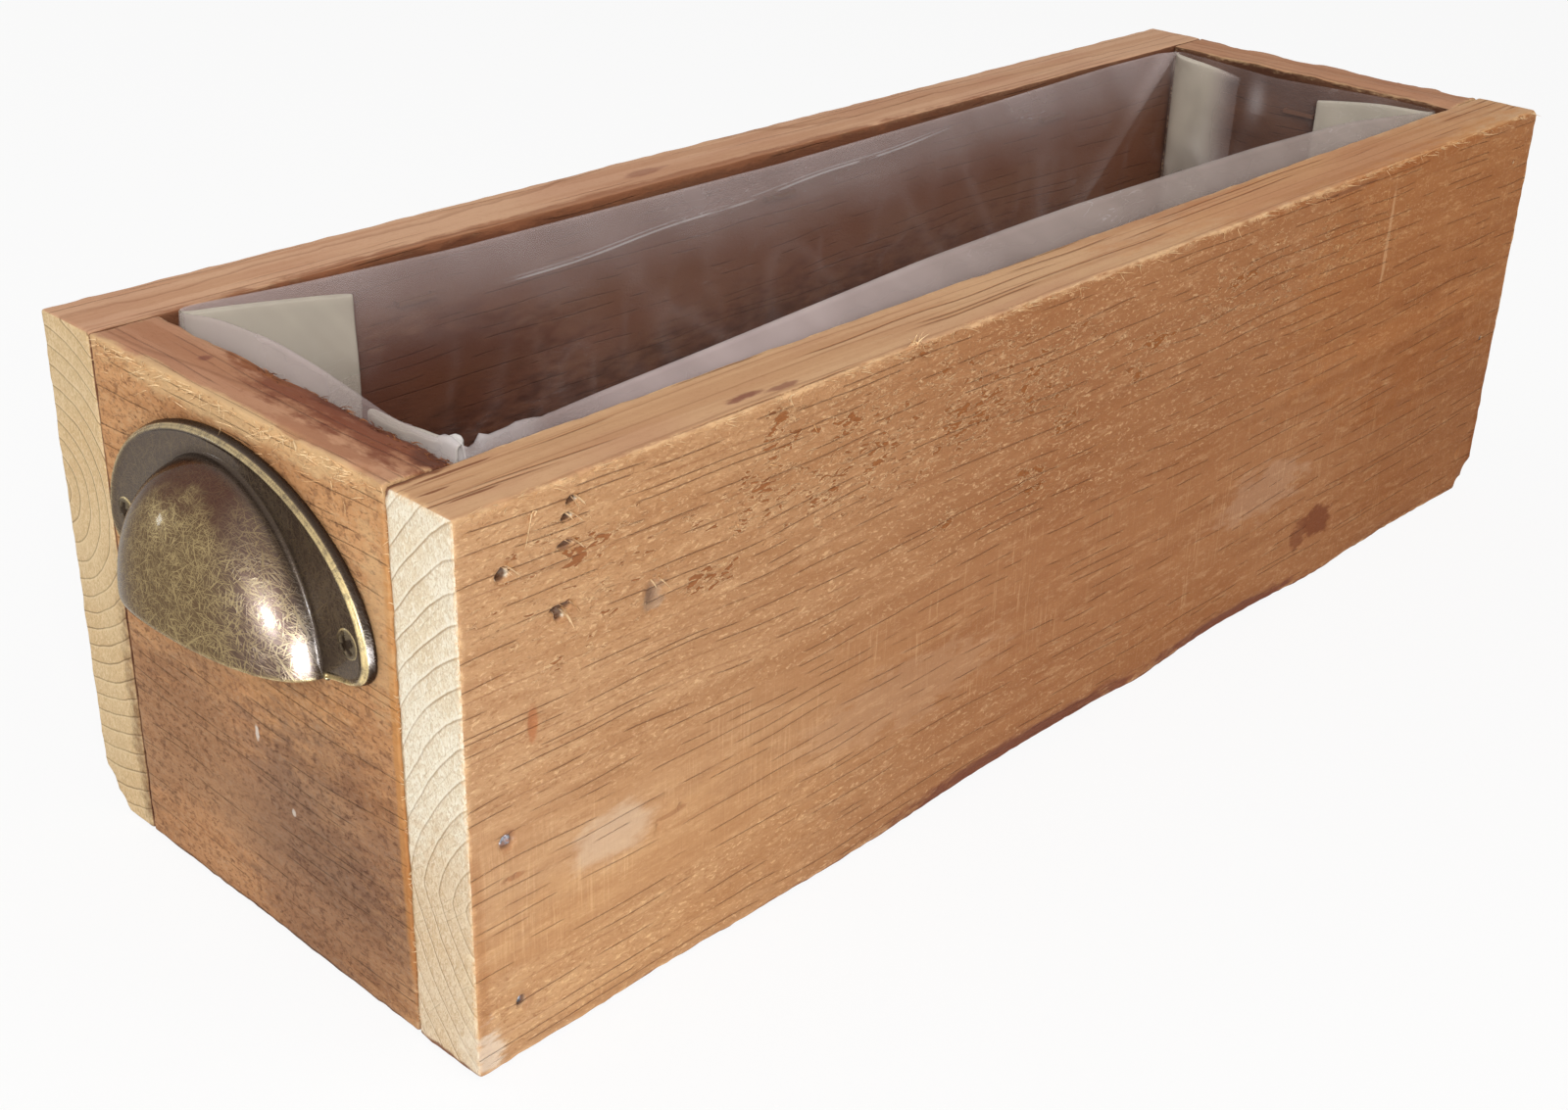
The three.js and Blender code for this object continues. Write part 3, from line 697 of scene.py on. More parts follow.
FRONT_LOOK = {
    "grain_axis": 0,
    "pith": (0, FRONT_FACE - 0.5, 39),
    "squash": 0.62,
    "power": 1.3,
    "spacing": 3.9,
    "wander": 1.6,
    # face_near to face_far over the falloff span is painted shade, for light falling off along the board.
    "face_near": (0.50, 0.283, 0.135),
    "face_far": (0.34, 0.148, 0.06),
    "fade": (-195, -20),
    "late_tint": (0.74, 0.62, 0.52),
    "cloud_tint": (0.88, 0.79, 0.68),
    "nap_zone": front_nap,
    "nap_size": 1.0,
    "nap_light": (0.80, 0.53, 0.29),
    "nap_dark": (0.33, 0.15, 0.06),
    "mottle": 0.22,
    "mottle_scale": (1 / 7, 1 / 1.6, 1 / 1.5),
    "cracked": 0.56,
    "crack_length": 60.0,
    "crack_gap": 5.4,
    "far_cracks": 0.5,
    "line": (0.225, 0.085, 0.032),
    "pit": (0.12, 0.055, 0.028),
    "torn_places": TORN_BANDS + SPOT_PLACES,
    "torn": (0.26, 0.088, 0.022),
    "fray": 0.6,
    "top_lines": 0.85,
    "top": (0.60, 0.36, 0.20),
    "top_cloud": (0.54, 0.30, 0.17),
    # Dark inner face: painted shade for the inside of the trough.
    "inner": (0.155, 0.06, 0.03),
    "bottom": (0.17, 0.075, 0.04),
    "end": (0.88, 0.80, 0.64),
    "end_warm": (0.81, 0.68, 0.48),
    "end_late": (0.68, 0.54, 0.365),
    "end_pale": (0.95, 0.89, 0.75),
    "end_line": (0.42, 0.29, 0.17),
    "stains": [
        ((-200, FRONT_FACE + 4, 18), (4, 24, 44), 0.35, (0.84, 0.73, 0.62), 0.85),
        ((200, FRONT_FACE + 4, 18), (4, 24, 44), 0.35, (0.84, 0.73, 0.62), 0.85),
        ((170, FRONT_FACE, 30), (70, 9, 45), 0.5, (0.84, 0.74, 0.62), 0.7),
        ((-150, FRONT_FACE, 20), (62, 9, 26), 0.5, (1.1, 1.11, 1.08), 0.9),
        ((120, FRONT_FACE, 62), (80, 9, 2.4), 0.5, (0.82, 0.76, 0.7), 0.6),
        ((120, FRONT_FACE, 76), (80, 9, 1.8), 0.5, (0.82, 0.76, 0.7), 0.5),
        ((140, FRONT_FACE, 69), (70, 9, 3.0), 0.5, (1.12, 1.12, 1.12), 0.6),
        ((150, FRONT_FACE, 88), (95, 9, 50), 0.5, (1.0, 0.91, 0.76), 0.85),
        ((110, FRONT_FACE + 9, 120), (120, 14, 5), 0.5, (0.94, 0.83, 0.73), 0.9),
    ],
    "patches": [
        ((-164.5, FRONT_FACE, 40.5), (12.5, 9, 7), 0.45, (0.60, 0.43, 0.29), 0.6),
        ((103.5, FRONT_FACE, 18.4), (9.5, 9, 5.2), 0.8, (0.17, 0.05, 0.018), 0.92),
        ((95, FRONT_FACE, 17.2), (5.5, 9, 5.0), 1.2, (0.18, 0.055, 0.02), 0.75),
        ((-190.9, FRONT_FACE, 51.4), (2.2, 6, 3.0), 0.3, RUST, 0.6),
        ((-187.7, FRONT_FACE, 12.7), (2.0, 6, 2.6), 0.35, RUST, 0.4),
        ((-184.1, FRONT_FACE, 73.9), (1.5, 6, 4.6), 0.25, (0.40, 0.14, 0.045), 0.85),
        ((-154, FRONT_FACE, 88.8), (3.0, 6, 3.6), 0.9, (0.30, 0.2, 0.13), 0.6),
        ((-190, FRONT_FACE, 42.7), (3.0, 6, 0.8), 0.5, RUST, 0.7),
        ((-150, FRONT_FACE, 37.8), (5.5, 6, 0.7), 0.7, RUST, 0.6),
        ((-197.5, FRONT_FACE, 5), (4.5, 8, 7), 0.7, (0.84, 0.74, 0.6), 0.5),
        ((118.5, FRONT_FACE, 99), (1.0, 6, 19), 0.3, (0.60, 0.36, 0.19), 0.45),
        ((93, FRONT_FACE, 117.5), (18, 6, 0.7), 0.4, (0.2, 0.075, 0.03), 0.75),
        ((-30, FRONT_FACE, 1.5), (56, 12, 5.0), 0.5, WANE_AND_CONTACT_SHADE, 0.9),
        ((60, FRONT_FACE, 1.0), (40, 12, 5.0), 0.6, WANE_AND_CONTACT_SHADE, 0.9),
        ((0, FRONT_FACE, 0), (210, 12, 1.3), 0.5, WANE_AND_CONTACT_SHADE, 0.8),
        ((-77, FRONT_FACE, 36), (40, 9, 10), 0.8, (0.56, 0.37, 0.23), 0.18),
        ((71, FRONT_FACE, 38), (24, 9, 9), 0.8, (0.5, 0.33, 0.22), 0.25),
        ((-187.4, FRONT_FACE + 15.9, 120), (10.5, 0.5, 3), 0.35, GROOVE, 0.9),
        ((-195.2, FRONT_FACE + 11.4, 120), (4.2, 0.45, 3), 0.4, GROOVE, 0.9),
        ((-191.0, FRONT_FACE + 6.1, 120), (7, 0.5, 3), 0.35, GROOVE, 0.9),
        ((-196, FRONT_FACE + 18.8, 120), (11, 1.8, 4), 0.5, GROOVE, 0.95),
        ((-200, FRONT_FACE + 19, 60), (2.4, 1.1, 80), 0.5, (0.44, 0.27, 0.13), 0.85),
        # Dark bottom edge of the sawn end: dark wane and a painted contact shadow.
        ((-200, FRONT_FACE + 9.5, 0), (7, 16, 1.6), 0.4, WANE_AND_CONTACT_SHADE, 0.85),
        ((-126, FRONT_FACE + 5, 120), (6, 1.6, 3), 0.5, KNOT, 0.85),
        ((-117, FRONT_FACE + 3.5, 120), (6, 1.4, 3), 0.5, KNOT, 0.7),
    ],
}
front_timber = timber("front timber", FRONT_LOOK)
print("front timber nodes:", len(front_timber.node_tree.nodes))

# %% [markdown]
# The front board's mesh carries the marks that have depth: craters round the nails, old holes, the chip,
# the slot, a knocked corner and the wane, where the bottom edge still follows the round of the tree.


# %% Front board: mesh
def nail_places(side, end):
    """Middles of the three nail heads at one corner, on the outer face of the side board."""
    places = []
    for level in ("low", "middle", "top"):
        low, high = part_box(f"{side}_{end}_nail_{level}")
        face = low.y if side == "front" else high.y
        places.append(Vector(((low.x + high.x) / 2, face, (low.z + high.z) / 2)))
    return places


CRATERS = {"low": (1.6, 1.9), "middle": (2.3, 1.4), "top": (1.6, 1.9)}


def nail_craters(points, side, inward):
    """Sinks the timber round each nail of a side board; inward is 1 on the front board, -1 on the rear."""
    for end, share in (("left", 1.0), ("right", 0.6)):
        for level, place in zip(CRATERS, nail_places(side, end)):
            wide, deep = CRATERS[level]
            press(points, place, (wide * share * MM, 3 * MM, wide * share * MM), (0, inward * deep * MM, 0))


def nicked(points, edge_start, edge_end, push, count, seed):
    """Knocks small nicks into an arris that runs from edge_start to edge_end; push is the deepest one."""
    draw = np.random.default_rng(seed)
    along = np.abs(edge_end - edge_start) > 0
    for share in draw.uniform(0, 1, count):
        size = np.where(along, draw.uniform(0.8, 3.2) * MM, 1.5 * MM)
        place = edge_start + (edge_end - edge_start) * share
        press(points, place, size, draw.uniform(0.2, 1) * np.array(push) * MM)


def knocked_in(points, before):
    """How far each point has been pushed since `before`, in millimetres."""
    return np.linalg.norm(points - before, axis=1) / MM


HOLES = [
    (-173.7, 115.3, 1.5, 0.9, 3.6), (-174.9, 112.3, 1.5, 1.0, 3.4), (-175.2, 107.0, 2.6, 1.1, 1.6),
    (-176.7, 94.9, 3.6, 0.9, 2.0), (-177.2, 93.6, 1.3, 1.6, 2.2), (-154.6, 89.2, 2.6, 4.0, 0.9),
    (-184.1, 73.9, 0.9, 4.0, 1.2), (-189.7, 106.4, 1.3, 1.6, 2.0), (-189.2, 42.8, 0.7, 0.7, 1.0),
    (-191.2, 42.6, 0.7, 0.7, 1.0), (-153.0, 36.6, 0.6, 1.2, 1.1), (-146.5, 38.8, 1.6, 0.6, 0.8),
]


def front_board():
    nails = [p for end in ("left", "right") for p in nail_places("front", end)]
    fine_x = [p.x for p in nails] + [-0.175, -0.177, -0.154]
    fine_z = [0.0945, 0.107, 0.1135, 0.0515, 0.0425]
    xs = grid_lines(FRONT_LOW[0], FRONT_HIGH[0], 1.5 * MM, fine_x, 4 * MM, 0.5 * MM)
    ys = grid_lines(FRONT_LOW[1], FRONT_HIGH[1], 1.8 * MM)
    zs = grid_lines(FRONT_LOW[2], FRONT_HIGH[2], 1.2 * MM, fine_z, 3.2 * MM, 0.5 * MM)
    points, quads = box_skin(xs, ys, zs)
    edge = edge_distance(points, FRONT_LOW, FRONT_HIGH)
    points = worn(points, FRONT_LOW, FRONT_HIGH, 0.75 * MM, 0.09 * MM, 11)
    face = FRONT_LOW[1]
    before = points.copy()
    nail_craters(points, "front", 1)
    for x, z, wide, tall, deep in HOLES:
        press(points, (x * MM, face, z * MM), (wide * MM, 4 * MM, tall * MM), (0, deep * MM, 0))
    deep = knocked_in(points, before)
    for x, wide, push in [(-30, 58, 1.8), (60, 44, 2.0), (150, 40, 0.9), (-150, 20, 0.6)]:
        press(points, (x * MM, face, 0), (wide * MM, 5 * MM, 6 * MM), (0, push * MM, 0))
    far, near = FRONT_HIGH[0], FRONT_LOW[0]
    top_near, top_far = np.array([near, face, RIM]), np.array([far, face, RIM])
    nicked(points, top_near, top_far, (0, 0.45, -0.45), 120, 15)
    press(points, (far, face, 0), (9 * MM, 12 * MM, 9 * MM), (-2.4 * MM, 1.0 * MM, 2.4 * MM))
    piece = board_piece("front_side_timber", points, quads, front_timber, edge, deep)
    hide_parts("front_side_board")
    return piece


front_piece = front_board()
print("front board:", len(front_piece.data.vertices), "points")

# %% [markdown]
# The rear board is cut from another plank, with yellower ends whose rings centre higher up. Its bottom
# outer corner is waney and rounded off. From the camera only its end, its top edge and a strip inside the
# rim show.


# %% Rear board
def rear_nap(n, x, y, z, cloud):
    return n.band(n.math("ADD", z, n.math("MULTIPLY", cloud, 60)), 60, 95, 0.2, 0.9)


REAR_FACE = REAR_HIGH[1] / MM
REAR_LOOK = dict(FRONT_LOOK)
REAR_LOOK.update({
    "pith": (0, REAR_FACE + 2, 79),
    "squash": 0.92,
    "power": 2.0,
    "spacing": 3.9,
    "wander": 2.4,
    "face_near": (0.56, 0.32, 0.16),
    "face_far": (0.5, 0.25, 0.11),
    "nap_zone": rear_nap,
    "torn_places": [((-60, REAR_FACE, 80), (40, 9, 12), 0.8), ((70, REAR_FACE, 100), (30, 9, 8), 0.9)],
    "top_lines": 0.3,
    "top": (0.62, 0.37, 0.23),
    "top_cloud": (0.57, 0.32, 0.2),
    # Dark inner face: painted shade for the inside of the trough.
    "inner": (0.15, 0.055, 0.028),
    "stains": [
        # The inner face is made darker towards the bottom.
        ((0, 49, 26), (300, 6, 60), 0.3, (0.4, 0.31, 0.26), 0.97),
        ((-125, 49, 84), (60, 6, 22), 0.4, (0.62, 0.48, 0.42), 0.9),
        ((120, REAR_FACE, 40), (90, 9, 50), 0.6, (0.84, 0.76, 0.66), 0.6),
    ],
    "end": (0.74, 0.56, 0.33),
    "end_warm": (0.70, 0.49, 0.26),
    "end_late": (0.60, 0.42, 0.22),
    "end_pale": (0.80, 0.63, 0.40),
    "end_line": (0.27, 0.17, 0.085),
    "fray": 0.1,
    "patches": [
        ((-120, REAR_FACE, 60), (45, 9, 16), 0.8, (0.5, 0.34, 0.22), 0.4),
        ((90, REAR_FACE, 30), (22, 9, 9), 0.6, (0.24, 0.085, 0.035), 0.6),
        ((20, REAR_FACE, 2), (90, 12, 6), 0.6, WANE_AND_CONTACT_SHADE, 0.8),
        ((-195, REAR_FACE, 3), (9, 9, 6), 0.5, (0.3, 0.16, 0.08), 0.5),
        # A dark strip along the inner top edge: a painted shadow in the gap between the film and the board.
        ((-60, 50, 120), (150, 2.2, 3), 0.6, (0.27, 0.105, 0.05), 0.7),
        ((-40, 58, 120), (9, 2.4, 3), 0.5, KNOT, 0.5),
    ],
})
rear_timber = timber("rear timber", REAR_LOOK)


def rear_board():
    nails = [p for end in ("left", "right") for p in nail_places("rear", end)]
    xs = grid_lines(REAR_LOW[0], REAR_HIGH[0], 2.4 * MM, [p.x for p in nails], 4 * MM, 0.7 * MM)
    ys = grid_lines(REAR_LOW[1], REAR_HIGH[1], 1.8 * MM)
    zs = grid_lines(REAR_LOW[2], REAR_HIGH[2], 2.0 * MM, [p.z for p in nails], 4 * MM, 0.7 * MM)
    points, quads = box_skin(xs, ys, zs)
    edge = edge_distance(points, REAR_LOW, REAR_HIGH)
    points = worn(points, REAR_LOW, REAR_HIGH, 0.8 * MM, 0.09 * MM, 31)
    before = points.copy()
    nail_craters(points, "rear", -1)
    deep = knocked_in(points, before)
    face, near, far = REAR_HIGH[1], REAR_LOW[0], REAR_HIGH[0]
    press(points, (near, face, 0), (60 * MM, 9 * MM, 10 * MM), (0, -4.5 * MM, 3.6 * MM))
    press(points, (far, face, 0), (20 * MM, 8 * MM, 8 * MM), (-1.5 * MM, -2 * MM, 2 * MM))
    inner = REAR_LOW[1]
    for x, wide, push in [(-95, 9, 0.7), (-20, 16, 0.5), (40, 12, 0.4), (-150, 14, 0.4)]:
        press(points, (x * MM, inner, RIM), (wide * MM, 3 * MM, 3 * MM), (0, push * MM, -push * 0.6 * MM))
    piece = board_piece("rear_side_timber", points, quads, rear_timber, edge, deep)
    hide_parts("rear_side_board")
    return piece


rear_piece = rear_board()
print("rear board:", len(rear_piece.data.vertices), "points")

# %% [markdown]
# The two end boards sit between the side boards with their grain level. The near one is orange near the
# top and weathered brown below the pull, felted all over and flecked with grit. Straw-coloured fibre
# hangs along its outer top edge, and a chewed red-brown strip runs along the inner edge of the top.


# %% End boards and base
def end_nap(n, x, y, z, cloud):
    return n.band(cloud, 0.2, 0.7, 0.75, 1.0)


END_FACE = LEFT_LOW[0] / MM
GRIME = (0.665, 0.675, 0.765)
STRAW = (0.70, 0.47, 0.245)
CHEWED = (0.19, 0.06, 0.032)
END_LOOK = dict(FRONT_LOOK)
END_LOOK.update({
    "grain_axis": 1,
    "pith": (0, END_FACE - 30, 40),
    "squash": 0.5,
    "power": 2.0,
    "spacing": 6.0,
    "wander": 5.0,
    "face_near": (0.63, 0.345, 0.16),
    "face_far": (0.64, 0.345, 0.158),
    "fade": (-50, 50),
    "nap_zone": end_nap,
    "nap_size": 1.15,
    "nap_light": (0.62, 0.40, 0.22),
    "nap_dark": (0.22, 0.10, 0.048),
    "mottle": 0.55,
    "mottle_scale": (1 / 2.4, 1 / 1.8, 1 / 2.0),
    "cracked": 0.22,
    "far_cracks": 1.0,
    "crack_length": 24.0,
    "crack_gap": 5.0,
    "line": (0.17, 0.07, 0.035),
    "torn_places": [((END_FACE, -30, 97), (9, 18, 9), 0.8), ((END_FACE, 34, 104), (9, 12, 6), 0.8)],
    "torn": (0.26, 0.12, 0.055),
    "top_lines": 0.15,
    "top": (0.50, 0.265, 0.155),
    "top_cloud": (0.44, 0.215, 0.125),
    "end": (0.40, 0.22, 0.10),
    "end_warm": (0.34, 0.17, 0.075),
    "end_late": (0.30, 0.15, 0.065),
    "end_pale": (0.46, 0.27, 0.13),
    # Very dark inner face, seen through the film on the far wall: painted shade for the inside of the trough.
    "inner": (0.08, 0.032, 0.018),
    "fray": 0.6,
    "stains": [
        ((END_FACE, 18, 16), (30, 75, 52), 0.3, GRIME, 0.95),
        ((END_FACE, -24, 22), (30, 40, 52), 0.35, GRIME, 0.9),
        ((-END_FACE, 0, 20), (30, 75, 50), 0.4, GRIME, 0.9),
        ((END_FACE, -26, 18), (30, 22, 24), 0.7, (0.84, 0.8, 0.78), 0.4),
        ((END_FACE, 0, 112), (9, 34, 8), 0.5, (0.72, 0.62, 0.55), 0.6),
        ((END_FACE, -40, 50), (30, 13, 34), 0.8, (0.8, 0.75, 0.77), 0.6),
        ((END_FACE, 32, 34), (30, 16, 22), 0.9, (0.86, 0.83, 0.82), 0.5),
        ((END_FACE, 4, 48), (30, 10, 22), 0.8, (1.14, 1.11, 1.08), 0.7),
        ((END_FACE, 0, 6), (30, 60, 16), 0.5, (1.26, 1.22, 1.14), 0.9),
    ],
    "patches": [
        ((END_FACE, 6, 24), (9, 16, 14), 0.9, (0.36, 0.2, 0.11), 0.35),
        # Dark line along the bottom edge: a dark edge and a painted contact shadow.
        ((END_FACE, 0, 0), (6, 70, 1.4), 0.4, (0.1, 0.045, 0.025), 0.85),
        ((END_FACE, -48.2, 66), (9, 1.9, 60), 0.25, (0.55, 0.25, 0.075), 0.75),
        ((END_FACE, -49, 28), (9, 1.6, 30), 0.4, (0.42, 0.17, 0.05), 0.6),
        ((END_FACE, 48.8, 70), (9, 1.1, 60), 0.3, (0.36, 0.16, 0.06), 0.6),
        ((END_FACE, 0, 119), (3, 60, 5.5), 0.5, STRAW, 0.75),
        ((END_FACE, -44, 92), (9, 5, 22), 0.9, STRAW, 0.35),
        ((-184.5, -34, 120), (11.5, 28, 7), 0.55, CHEWED, 0.92),
        ((-184.5, -8, 120), (8.5, 27, 7), 0.5, CHEWED, 0.92),
        ((-184.5, 8, 120), (2.6, 16, 6), 0.6, (0.24, 0.085, 0.035), 0.85),
        ((-184.5, -24, 120), (2.2, 34, 7), 0.6, (0.09, 0.03, 0.018), 0.7),
        ((-186.0, -46, 120), (6, 6, 8), 0.5, (0.11, 0.04, 0.024), 0.85),
        ((-196.5, -26, 120), (2.4, 24, 4), 0.7, (0.33, 0.14, 0.075), 0.65),
        ((-190, 22, 120), (1.6, 1.8, 3), 0.4, KNOT, 0.8),
        ((END_FACE, 0.3, 47.8), (5, 0.9, 2.2), 0.5, (0.75, 0.68, 0.6), 0.8),
        ((END_FACE, -10.7, 33.7), (5, 0.8, 1.0), 0.5, (0.75, 0.68, 0.6), 0.7),
    ],
})
end_timber = timber("end timber", END_LOOK)
BASE_LOOK = dict(FRONT_LOOK)
BASE_LOOK.update({
    "pith": (0, 30, -60),
    "squash": 1.0,
    "spacing": 7.0,
    "face_near": (0.34, 0.18, 0.09),
    "face_far": (0.3, 0.15, 0.075),
    "top": (0.155, 0.07, 0.038),
    "top_cloud": (0.125, 0.056, 0.03),
    "bottom": (0.36, 0.2, 0.105),
    "torn_places": [((60, 10, 0), (50, 30, 9), 0.8)],
    "stains": [((60, 10, 0), (50, 30, 9), 0.8, (0.6, 0.56, 0.5), 0.7)],
    "patches": [],
})
base_timber = timber("base timber", BASE_LOOK)


INNER_NICKS = [(-46, 7, 0.9), (-37, 8, 0.5), (-26, 12, 0.6), (-12, 12, 0.4), (6, 10, 0.4), (30, 12, 0.3)]
OUTER_NICKS = [(-20, 16, 0.9), (12, 10, 0.8), (-42, 7, 1.1), (34, 8, 0.7)]


def end_board(node, name, seed):
    low, high = (np.array(corner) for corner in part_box(node))
    xs = grid_lines(low[0], high[0], 1.2 * MM)
    ys = grid_lines(low[1], high[1], 1.2 * MM)
    zs = grid_lines(low[2], high[2], 1.5 * MM)
    points, quads = box_skin(xs, ys, zs)
    edge = edge_distance(points, low, high)
    points = worn(points, low, high, 0.8 * MM, 0.1 * MM, seed)
    outer = low[0] if low[0] < 0 else high[0]
    inner = high[0] if low[0] < 0 else low[0]
    inward = np.sign(inner - outer)
    before = points.copy()
    for y, wide, push in INNER_NICKS:
        knock = (-inward * push * 0.3 * MM, 0, -push * MM)
        press(points, (inner, y * MM, RIM), (5 * MM, wide * MM, 5 * MM), knock)
    for y, wide, push in OUTER_NICKS:
        knock = (inward * push * MM, 0, -push * 0.7 * MM)
        press(points, (outer, y * MM, RIM), (3 * MM, wide * MM, 3 * MM), knock)
    chewed = np.clip(knocked_in(points, before), 0, 1)
    points[:, 2] += chewed * 0.5 * MM * wander(points, (1.6 * MM, 2.6 * MM, 2 * MM), seed + 5)
    piece = board_piece(name, points, quads, end_timber, edge, 0.2 * chewed)
    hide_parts(node)
    return piece


def base_plank():
    xs = grid_lines(BASE_LOW[0], BASE_HIGH[0], 4 * MM)
    ys = grid_lines(BASE_LOW[1], BASE_HIGH[1], 3 * MM)
    zs = grid_lines(BASE_LOW[2], BASE_HIGH[2], 3 * MM)
    points, quads = box_skin(xs, ys, zs)
    edge = edge_distance(points, BASE_LOW, BASE_HIGH)
    points = worn(points, BASE_LOW, BASE_HIGH, 0.8 * MM, 0.12 * MM, 71)
    flat = np.zeros(len(points))
    piece = board_piece("base_plank_timber", points, quads, base_timber, edge, flat)
    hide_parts("base_board")
    return piece


END_SEEDS = {"left": 51, "right": 61}
end_pieces = [end_board(f"{end}_end_board", f"{end}_end_timber", seed) for end, seed in END_SEEDS.items()]
base_piece = base_plank()
print("end boards and base:", [len(p.data.vertices) for p in end_pieces + [base_piece]], "points")

# %% [markdown]
# The liner is a bag of thin milky film, pushed into the trough and folded over inside the rim. Its spare
# width lies in four pleats by the corners. A cloth simulation could crumple it, but it would not lay the
# pleats where they are. So the film is drawn as one strip that runs round the walls, doubles back on
# itself for each pleat, and is shaped row by row: the hem behind, the puffed fold, the slack below it,
# the wall, and the floor.

# %% Film liner: the way round the walls
HALF_LENGTH = -LEFT_HIGH[0]
HALF_WIDTH = -FRONT_HIGH[1]
FLOOR = BASE_HIGH[2]
FILM_STEP = 1.8 * MM
PLEAT_NEAR_REAR = 46 * MM
PLEAT_FAR_FRONT = 44 * MM
PLEAT_FAR_REAR = 30 * MM
PLEAT_NEAR_FRONT = 36 * MM

WALLS = {
    "front": {"middle": (0, -HALF_WIDTH), "along": (1, 0), "inward": (0, 1), "half": HALF_LENGTH},
    "far": {"middle": (HALF_LENGTH, 0), "along": (0, 1), "inward": (-1, 0), "half": HALF_WIDTH},
    "rear": {"middle": (0, HALF_WIDTH), "along": (-1, 0), "inward": (0, -1), "half": HALF_LENGTH},
    "near": {"middle": (-HALF_LENGTH, 0), "along": (0, -1), "inward": (1, 0), "half": HALF_WIDTH},
}
UPPER_MILK = {"front": 0.08, "far": 0.02, "rear": 0.25, "near": 0.14}
CUFF_MILK = {"front": 0.42, "far": 0.05, "rear": 0.17, "near": 0.2}
PLEAT_MILK = {"far": 0.48, "rear": 0.255, "near": 0.36, "front": 0.36}
FILM_RUNS = [
    ("front", -HALF_LENGTH, HALF_LENGTH, 0),
    ("far", -HALF_WIDTH, PLEAT_FAR_FRONT - HALF_WIDTH, 2),
    ("far", PLEAT_FAR_FRONT - HALF_WIDTH, -HALF_WIDTH, 1),
    ("far", -HALF_WIDTH, HALF_WIDTH, 0),
    ("far", HALF_WIDTH, HALF_WIDTH - PLEAT_FAR_REAR, 1),
    ("far", HALF_WIDTH - PLEAT_FAR_REAR, HALF_WIDTH, 2),
    ("rear", -HALF_LENGTH, HALF_LENGTH, 0),
    ("rear", HALF_LENGTH, HALF_LENGTH - PLEAT_NEAR_REAR, 1),
    ("rear", HALF_LENGTH - PLEAT_NEAR_REAR, HALF_LENGTH, 2),
    ("near", -HALF_WIDTH, HALF_WIDTH, 0),
    ("near", HALF_WIDTH, HALF_WIDTH - PLEAT_NEAR_FRONT, 1),
    ("near", HALF_WIDTH - PLEAT_NEAR_FRONT, HALF_WIDTH, 2),
]


def film_columns():
    """One entry per column of the film: its wall, its place along it, its layer and its pleat's corner."""
    columns = []
    for wall, start, end, layer in FILM_RUNS:
        count = max(6, round(abs(end - start) / FILM_STEP))
        corner = math.copysign(WALLS[wall]["half"], start + end) if layer else 0.0
        for step in range(count):
            columns.append((wall, start + (end - start) * step / count, layer, corner))
    return columns


def cuff_shape(wall, along):
    """How far the fold leans in from the wall and how high it stands, in metres, along the wall."""
    share = (along / WALLS[wall]["half"] + 1) / 2
    if wall == "front":
        lean = np.interp(share, [0, 0.17, 0.39, 0.55, 0.77, 0.88, 1], [3, 7, 13, 14.5, 13.5, 11, 2])
        top = np.interp(share, [0, 0.1, 0.5, 0.9, 1], [-0.5, 0.4, 1.2, 0.4, -1.2])
    elif wall == "far":
        lean = np.interp(share, [0, 0.5, 1], [2.2, 2.0, 2.6])
        top = np.interp(share, [0, 0.2, 0.6, 0.85, 1], [-1.6, -1.2, -2.6, -1.2, -0.2])
    elif wall == "rear":
        lean = np.interp(share, [0, 0.1, 0.5, 0.9, 1], [3.0, 2.2, 2.4, 1.6, 0.6])
        top = np.interp(share, [0, 0.1, 0.25, 0.5, 0.8, 0.93, 1], [-0.2, -0.4, -1.8, -2.8, -2.2, -0.6, 0.8])
    else:
        lean = np.interp(share, [0, 0.1, 0.3, 0.5, 0.68, 0.78, 0.9, 1], [1, 6, 7.5, 6, 4, 2.6, 3, 2.6])
        top = np.interp(share, [0, 0.1, 0.4, 0.7, 1], [0.8, 1.0, 0.9, 0.2, -0.2])
    return lean * MM, RIM + top * MM


film_columns_list = film_columns()
print("film columns:", len(film_columns_list), "round the walls")

# %% Film liner: rows from the hem to the floor
HEM = 12.5 * MM
HEM_ROWS = 8
SLACK = 46 * MM
LAYER_GAP = 1.2 * MM
WALL_GAP = 1.3 * MM
FLOOR_BEND = 7 * MM
FLOOR_STRIP = 43 * MM
CORNER_ROOM = 1.8 * MM
PLEAT_HEM = 2.5 * MM
FILM_ON_FLOOR = 0.6 * MM
BASE_MILK = 0.058
DEEP_CLEAR = 0.046


def soft_step(value, low, high):
    """0 below low, 1 above high, and a smooth rise between."""
    part = np.clip((value - low) / (high - low), 0, 1)
    return part * part * (3 - 2 * part)


